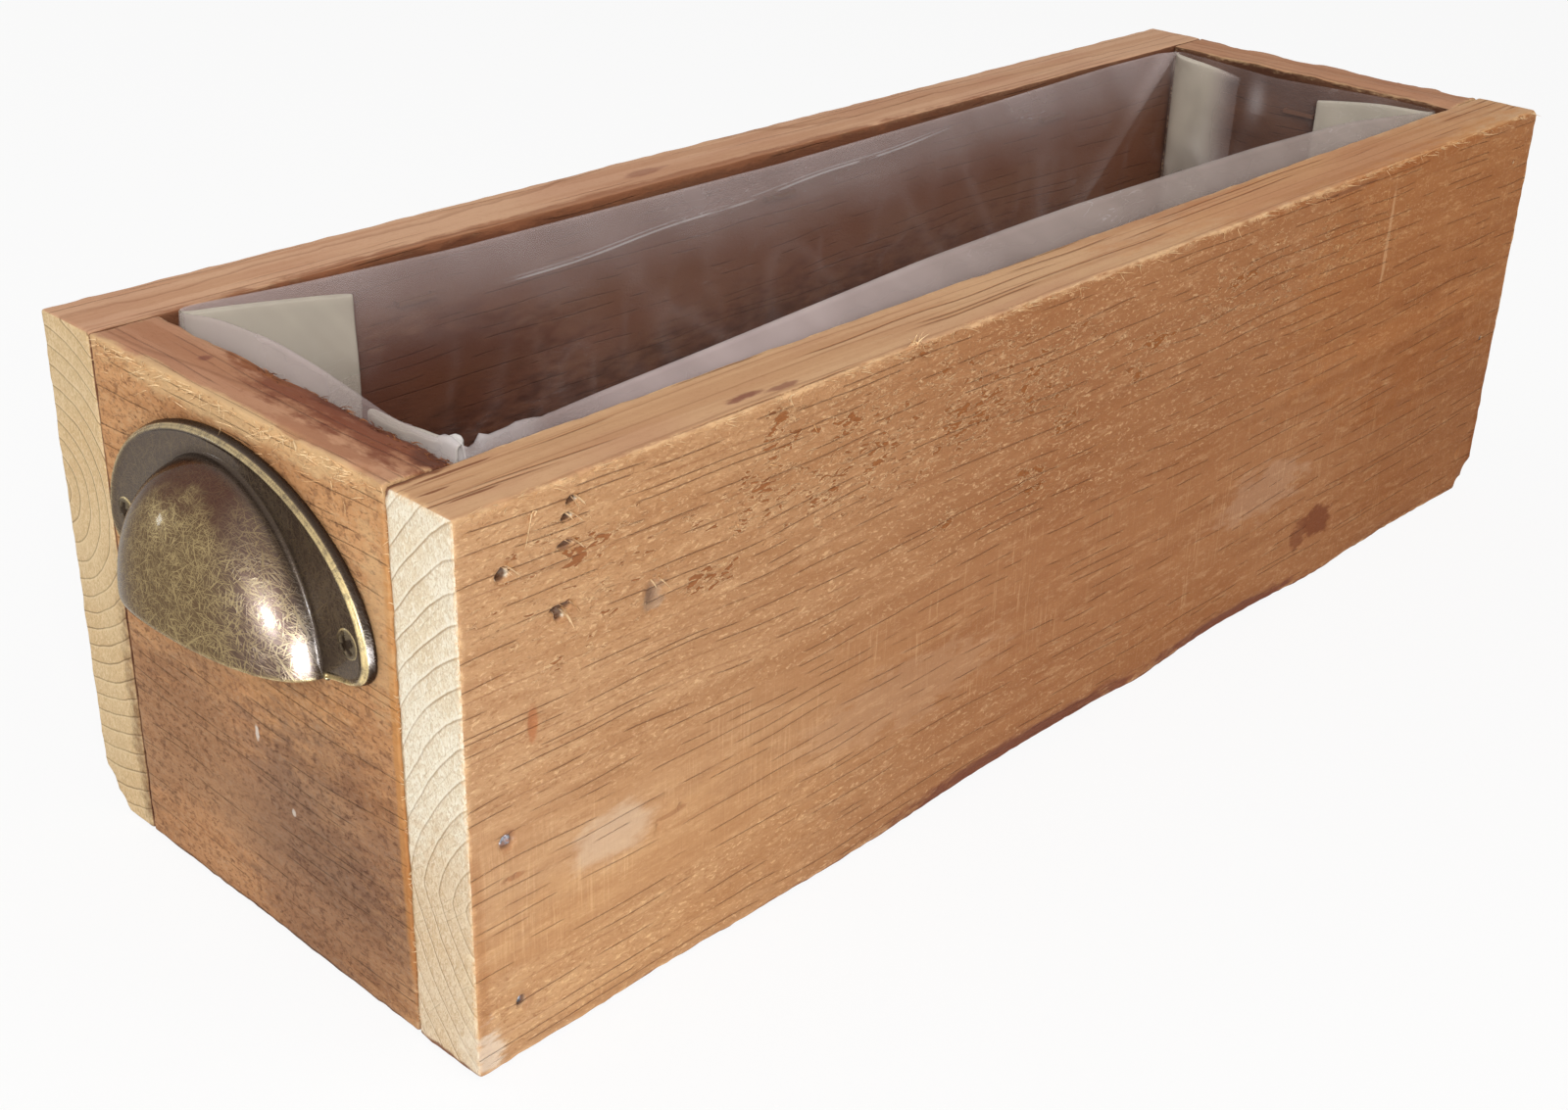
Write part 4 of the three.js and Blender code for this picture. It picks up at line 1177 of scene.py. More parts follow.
def film_section(lean, top, layer):
    """Inward distance, height and corner room of each row at one column, from the hidden hem to the floor."""
    bend = 0.5 * MM + 0.05 * lean
    inner = lean + layer * LAYER_GAP
    hem = HEM if layer == 0 else PLEAT_HEM
    hem_start = 0.5 * MM if layer == 0 else inner - 0.7 * MM
    rows = []
    for part in np.linspace(0, 1, HEM_ROWS):
        off = hem_start + (inner - bend - hem_start) * part**1.4
        rows.append((off, top - bend - hem * (1 - part), CORNER_ROOM))
    for angle in np.linspace(math.pi, 0, 7)[1:-1]:
        rows.append((inner + bend * math.cos(angle), top - bend + bend * math.sin(angle), CORNER_ROOM))
    rest = WALL_GAP + layer * LAYER_GAP
    for part in np.linspace(0, 1, 38):
        fall = soft_step(part, 0, 1)
        rows.append(((inner + bend) * (1 - fall) + rest * fall, top - bend - SLACK * part, CORNER_ROOM))
    low = FLOOR + FLOOR_BEND
    for height in np.linspace(top - bend - SLACK, low, 14)[1:]:
        rows.append((rest, height, CORNER_ROOM))
    for angle in np.linspace(0, math.pi / 2, 5)[1:]:
        way = FLOOR_BEND * (1 - math.cos(angle))
        rows.append((rest + way, low - (FLOOR_BEND - FILM_ON_FLOOR) * math.sin(angle), CORNER_ROOM + way))
    for way in np.linspace(FLOOR_BEND, FLOOR_STRIP, 8)[1:]:
        rows.append((rest + way, FLOOR + FILM_ON_FLOOR + layer * 0.1 * MM, CORNER_ROOM + way))
    return np.array(rows)


def film_grid():
    """The film's points as rows by columns by three, and how milky and how pleated each point is."""
    places, milk, pleat = [], [], []
    for wall, along, layer, corner in film_columns_list:
        data = WALLS[wall]
        lean, top = cuff_shape(wall, along)
        if layer:
            tip = abs(along - corner) / MM
            top = top - (0.7 + 0.03 * tip + 0.0012 * tip**2) * MM
        off, height, room = film_section(lean, top, layer).T
        reach = along
        if layer:
            reach = corner + (along - corner) * soft_step(height, FLOOR - 4 * MM, FLOOR + 50 * MM)
        reach = reach * (data["half"] - room) / data["half"]
        x = data["middle"][0] + data["along"][0] * reach + data["inward"][0] * off
        y = data["middle"][1] + data["along"][1] * reach + data["inward"][1] * off
        places.append(np.stack([x + 0 * off, y + 0 * off, height], axis=1))
        cuff = soft_step(lean, 3 * MM, 8 * MM) * soft_step(height, top - 18 * MM, top - 5 * MM)
        upper = soft_step(height, top - 24 * MM, top - 3 * MM)
        fold = (1.0 if layer else 0.0) * soft_step(height, FLOOR + 10 * MM, FLOOR + 85 * MM)
        if wall == "far" and corner > 0:
            fold = fold * (1 - soft_step(tip, 15, 28))
        deep = soft_step(height, FLOOR + 70 * MM, FLOOR)
        seen = np.interp(np.arange(len(off)), [0, HEM_ROWS], [0.1, 1])
        cloudy = BASE_MILK - DEEP_CLEAR * deep + UPPER_MILK[wall] * upper
        cloudy = cloudy + CUFF_MILK[wall] * cuff + PLEAT_MILK[wall] * fold
        milk.append(seen * cloudy)
        pleat.append(fold)
    return np.stack(places, axis=1), np.stack(milk, axis=1), np.stack(pleat, axis=1)


def round_the_loop(values, passes):
    """Eases a closed loop of columns, so that corners and folds turn with a small radius."""
    for _ in range(passes):
        values = 0.5 * values + 0.25 * (np.roll(values, 1, axis=1) + np.roll(values, -1, axis=1))
    return values


film_points, film_milk, film_pleat = film_grid()
film_points = round_the_loop(film_points, 6)
film_milk = round_the_loop(film_milk, 2)
print("film grid:", film_points.shape[:2], "rows by columns")

# %% [markdown]
# Flat film would look like card. Slow billows, slanting creases, one long crease along the rear wall, a
# fold that is pulled slantwise to the far corner and a crumpled spot on the far wall go into the mesh,
# always away from the timber. Last, the cuff is left in tatters at the near front corner. Creased film
# scatters more light, so the creases are stored as well and the material turns them whiter; the crumpled
# spot on the far wall is stored whiter still, a painted highlight. Below the pulled fold the film is made
# clearer, a painted shadow that lets the dark timber show. Where the film lies tight on the rear board it
# is clearer.


# %% Film liner: billows, creases and the torn corner
# The long crease on the rear wall, in millimetres: how high and where it starts, its climb and its waver.
CREASE_HEIGHT = 106.2
CREASE_START = 92
CREASE_SLOPE = 0.049
CREASE_WAVE = 0.35
CREASE_WAVE_LENGTH = 9
REAR_WALL = 0.036
FOLD_TOP = (0.174, 116 * MM)
# The far spot, across and up: a crumpled place that is painted whiter, a painted highlight.
FAR_HIGHLIGHT_SPOT = (15 * MM, 109 * MM)


def film_inward():
    """The inward direction at every column."""
    ways = np.array([WALLS[wall]["inward"] + (0,) for wall, along, layer, corner in film_columns_list], float)
    return np.broadcast_to(round_the_loop(ways[None], 2), film_points.shape)


def crumpled(points):
    """How far each point is pushed off the wall, how creased it is, with the far spot's painted highlight,
    and where the film is clearer: a painted shadow below the pulled fold, and where it lies tight.
    """
    flat = points.reshape(-1, 3)
    x, y, z = flat.T
    billow = 0.5 + 0.5 * wander(flat, (46 * MM, 30 * MM, 34 * MM), 101)
    slant = np.stack([x + y + 0.8 * z, y, z - 0.5 * x], axis=1)
    ridge = (1 - np.abs(wander(slant, (24 * MM, 60 * MM, 60 * MM), 103))) ** 9
    fine = (1 - np.abs(wander(flat, (9 * MM, 12 * MM, 13 * MM), 105))) ** 8
    below = soft_step(RIM - z, 8 * MM, 32 * MM)
    line_height = CREASE_HEIGHT + (x / MM + CREASE_START) * CREASE_SLOPE
    line_height = (line_height + CREASE_WAVE * np.sin(x / MM / CREASE_WAVE_LENGTH)) * MM
    on_rear = (y > REAR_WALL) * soft_step(x, -0.1, -0.085) * (1 - soft_step(x, 0.05, 0.075))
    line = np.exp(-(((z - line_height) / (2.2 * MM)) ** 2)) * on_rear
    slope = x - FOLD_TOP[0] + FOLD_TOP[1] - z
    pulled = np.exp(-((slope / (3.5 * MM)) ** 2)) * (y > REAR_WALL) * soft_step(x, 0.125, 0.145)
    # The far spot is crumpled and stored as creased: its whiteness is a painted highlight.
    spot_off = ((y - FAR_HIGHLIGHT_SPOT[0]) / (2.4 * MM)) ** 2
    far_highlight_spot = np.exp(-spot_off - ((z - FAR_HIGHLIGHT_SPOT[1]) / (6 * MM)) ** 2) * (x > 0.16)
    push = 1.7 * billow * below + 0.7 * ridge * below + 0.25 * fine * below
    push = (push + 0.35 * line + 1.8 * pulled + 0.9 * far_highlight_spot * fine) * MM
    crease = np.clip(0.16 * ridge * below + 0.12 * fine * below + 0.1 * pulled, 0, 1)
    crease = np.clip(crease + far_highlight_spot * (0.5 + 0.5 * fine), 0, 1)
    # Below the pulled fold the film is made clearer: a painted shadow.
    fold_shadow_and_tight = soft_step(slope, -3 * MM, 15 * MM) * (y > REAR_WALL) * soft_step(x, 0.13, 0.15)
    tight = soft_step(-x, 0.07, 0.11) * soft_step(-z, -0.099, -0.087) * (y > REAR_WALL)
    fold_shadow_and_tight = np.maximum(fold_shadow_and_tight, tight)
    return [values.reshape(points.shape[:2]) for values in (push, crease, fold_shadow_and_tight)]


film_push, film_crease, film_fold_shadow_and_tight = crumpled(film_points)
# Clearer film below the pulled fold is a painted shadow; where it lies tight it is clearer too.
film_milk = film_milk * (1 - 0.7 * film_fold_shadow_and_tight * (1 - film_pleat))
on_wall = film_points[:, :, 2] > FLOOR + 4 * MM
film_points = film_points + film_inward() * (film_push * on_wall)[:, :, None]
film_points[:, :, 2] += np.where(on_wall, 0, film_push * 0.5)
TORN_CORNER = np.array([-HALF_LENGTH + 9 * MM, -HALF_WIDTH + 4 * MM, RIM])
torn = np.clip(1 - np.linalg.norm(film_points - TORN_CORNER, axis=2) / (17 * MM), 0, 1) ** 0.8
tatter = wander(film_points.reshape(-1, 3), (2.4 * MM, 2.4 * MM, 5 * MM), 109).reshape(torn.shape)
film_points[:, :, 2] += torn * (0.9 + 1.5 * tatter) * MM
film_points += film_inward() * (torn * (0.9 + 1.3 * tatter) * MM)[:, :, None]
film_crease = np.clip(film_crease + torn * (0.6 + 0.5 * tatter), 0, 1)
print("film pushed off the walls by up to", round(float(film_push.max()) / MM, 2), "mm")

# %% [markdown]
# Film is neither clear nor white: some light goes through and some comes back. Alpha does that well,
# because each layer hides a little more of the timber, so that the pleats turn creamy where three layers
# lie together. A slight gloss and fine crinkles finish it.


# %% Film liner: material and piece
def film_material():
    material, n, shader = new_material("milky film", roughness=0.42)
    mm = place_in_mm(n)
    milk = n.stored("milk")
    crease = n.stored("crease")
    pleat = n.stored("pleat")
    haze = n.noise(n.scaled(mm, (1 / 34, 1 / 30, 1 / 22)), detail=2, rough=0.5)
    thread = n.noise(n.scaled(mm, (1 / 20, 1 / 12, 1 / 3.0)), detail=2, rough=0.5, bend=1.2)
    crinkle = n.band(n.math("ABSOLUTE", n.math("SUBTRACT", thread, 0.5)), 0.0, 0.012, 1.0, 0.0)
    crinkle = times(n, crinkle, n.band(haze, 0.52, 0.66))
    x, y, z = n.parts(mm)
    leaning = n.math("ADD", x, n.math("MULTIPLY", z, 0.8))
    drape = n.noise(n.scaled(n.joined(leaning, y, z), (1 / 15, 1 / 15, 1 / 70)), detail=2, rough=0.45)
    crease_middle = CREASE_HEIGHT + CREASE_START * CREASE_SLOPE
    line_height = n.math("ADD", crease_middle, n.math("MULTIPLY", x, CREASE_SLOPE))
    wave = n.math("SINE", n.math("DIVIDE", x, CREASE_WAVE_LENGTH))
    line_height = n.math("ADD", line_height, times(n, wave, CREASE_WAVE))
    fold = n.band(n.math("ABSOLUTE", n.math("SUBTRACT", z, line_height)), 0.12, 0.42, 1.0, 0.0)
    fold = times(n, fold, n.band(y, 36, 38), n.band(x, -98, -86))
    fold = times(n, fold, n.band(x, 50, 74, 1.0, 0.0), n.band(thread, 0.3, 0.42))
    warm = times(n, n.band(y, -28, -36), n.band(x, -130, 40))
    colour = n.mix(warm, (0.675, 0.555, 0.54), (0.46, 0.375, 0.34))
    colour = n.mix(pleat, colour, (0.70, 0.63, 0.53))
    # The stored creases carry the far spot's painted highlight as well.
    crease = n.math("ADD", crease, times(n, fold, 0.6))
    bright = n.math("ADD", crease, times(n, crinkle, 0.3), clamp=True)
    n.feed(shader["Base Color"], n.mix(bright, colour, (0.86, 0.84, 0.85)))
    alpha = times(n, milk, n.band(haze, 0.3, 0.7, 0.9, 1.1), n.band(drape, 0.3, 0.7, 0.87, 1.15))
    alpha = n.math("ADD", alpha, times(n, crease, 0.4))
    n.feed(shader["Alpha"], n.math("ADD", alpha, times(n, crinkle, 0.07), clamp=True))
    height = n.math("ADD", times(n, drape, 1.2), times(n, crinkle, 0.3))
    n.feed(shader["Normal"], n.bump(height, 0.4, 0.7 * MM))
    n.feed(shader["Roughness"], n.band(haze, 0.3, 0.7, 0.4, 0.55))
    shader["Specular IOR Level"].default_value = 0.07
    return material


def film_piece():
    rows, columns = film_points.shape[:2]
    number = np.arange(rows * columns).reshape(rows, columns)
    ahead = np.roll(number, -1, axis=1)
    ring = [number[:-1], ahead[:-1], ahead[1:], number[1:]]
    quads = [tuple(q) for q in np.stack([r.ravel() for r in ring], axis=1)]
    middle = tuple(int(i) for i in number[-1])
    points = film_points.reshape(-1, 3)
    piece = new_piece("film_liner", points, quads + [middle], film_material())
    add_values(piece, "milk", film_milk.ravel())
    add_values(piece, "crease", film_crease.ravel())
    add_values(piece, "pleat", film_pleat.ravel())
    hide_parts("liner")
    return piece


film = film_piece()

# %% [markdown]
# The cup pull is pressed from one piece of sheet brass: a flange with a raised rim and two ears, and a
# quarter of an egg for the hood. A sphere cut in half would have no flange and no thickness. Here the
# sheet is a grid: columns run round the arch from ear to ear, rows run from the lip over the hood,
# through the fillet, across the flange and back to the board. Solidify gives it the sheet's thickness and
# subdivision rounds the pressed edges.

# %% Cup pull: the pressed sheet
PULL_LOW, PULL_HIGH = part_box("left_cup_pull")
FOOT_FLARE = 1.0 * MM
RIM_HALF_WIDTH = (PULL_HIGH.y - PULL_LOW.y) / 2 - 1.9 * MM
ARCH_BASE = 8.5 * MM
EAR_LIFT = 2.2 * MM
EAR_ROUND = ARCH_BASE - EAR_LIFT
RIM_RISE = PULL_HIGH.z - PULL_LOW.z - ARCH_BASE - 2.4 * MM
FLANGE_DEPTH = 2.4 * MM
HOOD_HALF_WIDTH = 29.4 * MM
HOOD_HEIGHT = 35 * MM
HOOD_REACH = LEFT_LOW[0] - PULL_LOW.x - FLANGE_DEPTH + 0.4 * MM
LIP_LIFT = 5.3 * MM
FILLET = 0.9 * MM
BEAD = 0.6 * MM
BEAD_WIDTH = 1.5 * MM
SHEET = 1.0 * MM
PULL_COLUMNS = 121


def flange_outline():
    """Points along the flange's front rim, from one hood corner under the ear, over the arch and back."""
    corner_x = RIM_HALF_WIDTH - EAR_ROUND
    turn = np.linspace(-math.pi / 2, 0, 13)
    ear = np.stack([corner_x + EAR_ROUND * np.cos(turn), EAR_LIFT + EAR_ROUND * (1 + np.sin(turn))], axis=1)
    sweep = np.linspace(0, math.pi, 121)
    arch = np.stack([RIM_HALF_WIDTH * np.cos(sweep), ARCH_BASE + RIM_RISE * np.sin(sweep)], axis=1)
    start = np.array([[HOOD_HALF_WIDTH + 1.0 * MM, 0.3 * EAR_LIFT]])
    mirror = np.array([-1.0, 1.0])
    path = np.concatenate([start, ear, arch, ear[::-1] * mirror, start * mirror])
    way = np.concatenate([[0], np.cumsum(np.linalg.norm(np.diff(path, axis=0), axis=1))])
    ear_share = way[len(ear) + 6] / way[-1]
    even = np.linspace(0, 1, PULL_COLUMNS)
    rim = np.stack([np.interp(even * way[-1], way, path[:, axis]) for axis in (0, 1)], axis=1)
    angle = math.pi * np.interp(even, [0, ear_share, 1 - ear_share, 1], [0, 0.12, 0.88, 1])
    return rim, angle


def pull_column(rim, angle):
    """Rows of one column as (across, up, out from the board)."""
    rise = math.sin(angle)
    fillet = min(FILLET, 0.45 * HOOD_REACH * rise)
    start = math.asin(min(1, fillet / max(HOOD_REACH * rise, 1e-9))) if rise > 1e-6 else 0
    rows = []
    for turn in np.linspace(math.pi / 2, start, 19):
        up = HOOD_HEIGHT * rise * math.cos(turn) + LIP_LIFT * (rise * math.sin(turn)) ** 2
        out = FLANGE_DEPTH + HOOD_REACH * rise * math.sin(turn)
        rows.append((HOOD_HALF_WIDTH * math.cos(angle), up, out))
    foot, foot_out = np.array(rows[-1][:2]), rows[-1][2]
    gap = np.linalg.norm(rim - foot)
    way = (rim - foot) / max(gap, 1e-9)
    fillet = min(fillet, 0.4 * gap)
    for turn in np.linspace(0, math.pi / 2, 4)[1:]:
        spot = foot + way * fillet * (1 - math.cos(turn))
        rows.append((*spot, foot_out - (foot_out - FLANGE_DEPTH) * math.sin(turn)))
    flat_start = foot + way * fillet
    for part in 1 - np.linspace(1, 0, 15)[1:] ** 1.7:
        spot = flat_start + (rim - flat_start) * part
        from_rim = np.linalg.norm(rim - spot)
        bead = BEAD * math.sin(math.pi * min(1, from_rim / BEAD_WIDTH))
        rows.append((*spot, FLANGE_DEPTH + min(bead, 0.4 * gap) - 0.3 * MM * math.sin(math.pi * part)))
    out_way = rim - np.array([0, ARCH_BASE])
    out_way = out_way / np.linalg.norm(out_way)
    for part in (0.1, 0.3, 0.65, 1.0):
        spot = rim + out_way * FOOT_FLARE * (0.3 + 0.7 * part)
        rows.append((*spot, FLANGE_DEPTH * (1 - part) + 0.25 * MM * part))
    return rows


outline, arch_angle = flange_outline()
pull_grid = np.array([pull_column(rim, angle) for rim, angle in zip(outline, arch_angle)])
pull_reach = round(float(pull_grid[:, :, 2].max()) / MM, 2)
print("pull grid:", pull_grid.shape[:2], "columns by rows; reach", pull_reach, "mm")

# %% [markdown]
# Antique brass is dark because it is tarnished on purpose, then rubbed. Rubbing brings the metal back in
# fine hairs that run every way, and most of all on the rim and the lip, where hands and cloth reach; the
# rim's bright line is also a painted highlight, wider and brighter by the ears. Each layer of hairs is
# noise stretched one way, on coordinates that follow the hood: across it, and up its front and over its
# top. The hairs are slightly curled and laid in nine directions, and every fourth layer is longer and
# sparser. The crown is darkest and reddest, and the flank towards the front board is painted paler and
# greyer, a painted sheen for the reflection there. The same group serves the screws.

# %% Node group: rubbed hairs; brass materials
HAIR_LAYERS = 9
HAIR_LENGTH = 4.0
HAIR_WIDTH = 0.21
hairs_group, n, given, result = new_group(
    "rubbed hairs", [("Place", "vector", None)], [("Hairs", "value"), ("Specks", "value")]
)
x, y, z = n.parts(given["Place"])
laid = n.joined(y, n.math("SUBTRACT", z, n.math("ABSOLUTE", x)), 0.0)
sway = n.noise(n.scaled(laid, (1 / 6, 1 / 6, 1)), detail=1)
swing = n.noise(n.scaled(laid, (1 / 6, 1 / 6, 1), shift=(11, 5, 3)), detail=1)
curled = n.vector("ADD", laid, n.joined(n.math("MULTIPLY", sway, 1.4), n.math("MULTIPLY", swing, 1.4), 0.0))
hairs = None
for number in range(HAIR_LAYERS):
    turn = math.pi * (number + 0.35 * math.sin(7 * number)) / HAIR_LAYERS
    turned_way = n.node("ShaderNodeMapping", {"Vector": curled}, vector_type="TEXTURE")
    turned_way.inputs["Rotation"].default_value = (0, 0, turn)
    longer, sparser = (2.4, 0.04) if number % 4 == 3 else (1.0, 0.0)
    turned_way.inputs["Scale"].default_value = (HAIR_LENGTH * longer, HAIR_WIDTH * longer, 1)
    turned_way.inputs["Location"].default_value = (3.7 * number, 9.1 * number, 0)
    layer = n.band(n.noise(turned_way.outputs[0], detail=0), 0.66 + sparser, 0.74 + sparser)
    hairs = layer if hairs is None else n.math("MAXIMUM", hairs, layer)
n.feed(result["Hairs"], hairs)
grit = n.noise(n.scaled(given["Place"], (1.1, 1.1, 1.1)), detail=4, rough=0.7)
n.feed(result["Specks"], n.band(grit, 0.57, 0.68))
print("group:", hairs_group.name, "with", HAIR_LAYERS, "layers")

# Bright gold of the rubbed rim and lip, brightened further as a painted highlight.
EDGE_BRASS_AND_HIGHLIGHT = (0.73, 0.56, 0.27)
# Paler, greyer brass for the flank towards the front board: a painted sheen.
FLANK_SHEEN_BRASS = (0.14, 0.088, 0.066)
SPECK_BROWN = (0.028, 0.02, 0.017)
# Near-black brown of grime, which is also painted shade on the side wall, in the joint and in the screw
# cross.
GRIME_AND_SHADE_BROWN = (0.04, 0.026, 0.018)


def brass(name, flange, hood, crown, gold, rub):
    """Dark brass: flange, hood and crown are tarnish colours, gold the bare metal, rub how much shows."""
    material, n, shader = new_material(name, roughness=0.3)
    mm = place_in_mm(n)
    hairs = n.placed(hairs_group, Place=mm)
    rubbed = n.stored("worn")
    belly = n.stored("belly")
    grime = n.stored("grime")
    outward, across, upward = n.parts(n.node("ShaderNodeNewGeometry").outputs["Normal"])
    # The middle leans a little towards the front-board flank, which is part of the painted sheen there.
    front = n.math("ADD", times(n, n.math("ABSOLUTE", outward), 0.95), times(n, upward, 0.15))
    front = n.math("SUBTRACT", front, times(n, across, 0.1))
    cloud = n.noise(n.scaled(mm, (1 / 8, 1 / 8, 1 / 6)), detail=3, rough=0.6)
    broken = n.noise(n.scaled(mm, (1 / 2.2, 1 / 2.2, 1 / 2.2)), detail=3, rough=0.65)
    # The rim and lip turn to the edge brass: rubbed metal, with a painted highlight on the rim.
    worn_edge_and_highlight = times(n, rubbed, n.band(broken, 0.34, 0.56, 0.5, 1.0))
    middle = n.band(n.math("ADD", front, times(n, n.math("SUBTRACT", cloud, 0.5), 0.5)), 0.62, 0.92)
    # The flank towards the front board turns to the flank colour: a painted sheen; the hairs show there too.
    sheen_flank = n.band(times(n, across, -1.0), 0.3, 0.65, 0.0, 0.9)
    colour = n.mix(belly, flange, n.mix(sheen_flank, n.mix(middle, crown, hood), FLANK_SHEEN_BRASS))
    bare = n.math("MAXIMUM", n.band(middle, 0, 1, 0.12, 1.0), times(n, sheen_flank, 0.6))
    bare = times(n, n.band(belly, 0, 1, 0.22, 1.0), bare)
    colour = n.mix(times(n, hairs["Hairs"], bare, rub), colour, gold)
    colour = n.mix(times(n, hairs["Specks"], 0.4), colour, SPECK_BROWN)
    # Grime and painted shade: the flange's side wall, the joint under the hood and the screw's cross.
    colour = n.mix(times(n, grime, 0.95), colour, GRIME_AND_SHADE_BROWN)
    n.feed(shader["Base Color"], n.mix(worn_edge_and_highlight, colour, EDGE_BRASS_AND_HIGHLIGHT))
    metal = n.band(belly, 0, 1, 0.7, 0.95)
    n.feed(shader["Metallic"], times(n, metal, n.band(worn_edge_and_highlight, 0, 1, 1.0, 0.4)))
    shader["Specular Tint"].default_value = (0.5, 0.455, 0.42, 1)
    rough = n.math("ADD", times(n, hairs["Hairs"], 0.3), cloud)
    n.feed(shader["Roughness"], n.band(rough, 0.3, 1.0, 0.2, 0.36))
    n.feed(shader["Coat Weight"], n.band(grime, 0, 1, 0.2, 0.04))
    shader["Coat Roughness"].default_value = 0.07
    height = n.math("SUBTRACT", times(n, cloud, 0.4), times(n, hairs["Hairs"], 0.3))
    height = n.math("ADD", height, times(n, hairs["Specks"], 0.2))
    n.feed(shader["Normal"], n.bump(height, 0.35, 0.1 * MM))
    return material


BARE_BRASS = (0.42, 0.31, 0.145)
antique_brass = brass(
    "antique brass", (0.097, 0.069, 0.051), (0.15, 0.094, 0.046), (0.082, 0.034, 0.022), BARE_BRASS, 0.78
)
screw_brass = brass(
    "screw brass", (0.118, 0.088, 0.053), (0.118, 0.088, 0.053), (0.106, 0.077, 0.05), BARE_BRASS, 0.4
)
print("brass:", antique_brass.name, screw_brass.name)


# %% Cup pulls: pieces
def applied(piece):
    """Turns the piece's modifiers into its mesh."""
    depsgraph = bpy.context.evaluated_depsgraph_get()
    mesh = bpy.data.meshes.new_from_object(piece.evaluated_get(depsgraph))
    piece.modifiers.clear()
    piece.data = mesh


def rim_distance(places):
    """How far each place is from the flange's rim, seen from the front."""
    finer = np.linspace(0, PULL_COLUMNS - 1, 12 * PULL_COLUMNS)
    tree = KDTree(len(finer))
    for number, spot in enumerate(finer):
        rim = [np.interp(spot, np.arange(PULL_COLUMNS), outline[:, axis]) for axis in (0, 1)]
        tree.insert((*rim, 0), number)
    tree.balance()
    return np.array([tree.find(place)[2] for place in places])


def paint_wear_highlight_and_shade(piece, side):
    """Stores where the brass is rubbed bright or has a painted highlight, its belly, and its grime and
    painted shade.
    """
    place = np.array([v.co for v in piece.data.vertices])
    across, up = place[:, 1], place[:, 2] - PULL_LOW.z
    out = side * place[:, 0] + LEFT_LOW[0]
    to_rim = rim_distance(np.stack([across, up, 0 * up], axis=1))
    # By the ears the rim line is wider and brighter: a painted highlight over the rubbing.
    rim_highlight_by_ear = soft_step(-up, -37 * MM, -18 * MM)
    rim_width = (0.3 + 0.16 * rim_highlight_by_ear) * MM
    rim = np.exp(-(((to_rim - 0.25 * MM) / rim_width) ** 2)) * (out > FLANGE_DEPTH - 0.2 * MM)
    rim = rim * (0.5 + 0.5 * rim_highlight_by_ear)
    lip_up = LIP_LIFT * (1 - np.clip(across / HOOD_HALF_WIDTH, -1, 1) ** 2)
    lip = np.exp(-(((up - lip_up) / (0.55 * MM)) ** 2)) * (out > FLANGE_DEPTH + 1.5 * MM)
    add_values(piece, "worn", np.clip(rim + lip, 0, 1))
    add_values(piece, "belly", soft_step(out, FLANGE_DEPTH + 0.8 * MM, FLANGE_DEPTH + 4 * MM))
    foot = np.hypot(across / HOOD_HALF_WIDTH, up / HOOD_HEIGHT)
    # The flange's side wall and the joint under the hood are darkened: grime and painted shade.
    joint = np.exp(-(((foot - 1) / 0.04) ** 2)) * (out < FLANGE_DEPTH + 1.2 * MM)
    side_wall = soft_step(FLANGE_DEPTH - out, 0.3 * MM, 0.8 * MM)
    add_values(piece, "grime", np.maximum(side_wall, 0.7 * joint))


def cup_pull(end, side):
    """The pull on one end; side is -1 for the left end and 1 for the right one."""
    columns, rows = pull_grid.shape[:2]
    out = side * (pull_grid[:, :, 2] + 0.1 * MM - LEFT_LOW[0])
    points = np.stack([out, pull_grid[:, :, 0], PULL_LOW.z + pull_grid[:, :, 1]], axis=2).reshape(-1, 3)
    number = np.arange(columns * rows).reshape(columns, rows)
    ring = [number[:-1, :-1], number[1:, :-1], number[1:, 1:], number[:-1, 1:]]
    ring = ring if side > 0 else ring[::-1]
    quads = np.stack([r.ravel() for r in ring], axis=1)
    piece = new_piece(f"{end}_hooded_pull", points, quads, antique_brass)
    work = bmesh.new()
    work.from_mesh(piece.data)
    bmesh.ops.remove_doubles(work, verts=work.verts, dist=0.02 * MM)
    bmesh.ops.recalc_face_normals(work, faces=work.faces)
    work.to_mesh(piece.data)
    work.free()
    thick = piece.modifiers.new("sheet thickness", "SOLIDIFY")
    thick.thickness = SHEET
    thick.offset = -1
    smooth = piece.modifiers.new("pressed edges", "SUBSURF")
    smooth.levels = 1
    smooth.render_levels = 1
    applied(piece)
    paint_wear_highlight_and_shade(piece, side)
    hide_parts(f"{end}_cup_pull")
    return piece


pulls = [cup_pull("left", -1), cup_pull("right", 1)]
print("pulls:", [len(p.data.polygons) for p in pulls], "faces")

# %% [markdown]
# Screws and nails are turned shapes: a half section spun round an axis. A plain cylinder would do for the
# shank, but the head is what shows: the screw has a domed head with a cross pressed into it, and the nail
# a flat hammered head that was driven a little below the timber. The staples and brads are hidden, so
# their CAD shapes stay as they are and only take a steel.

# %% Screws and nails
SPIN = 40


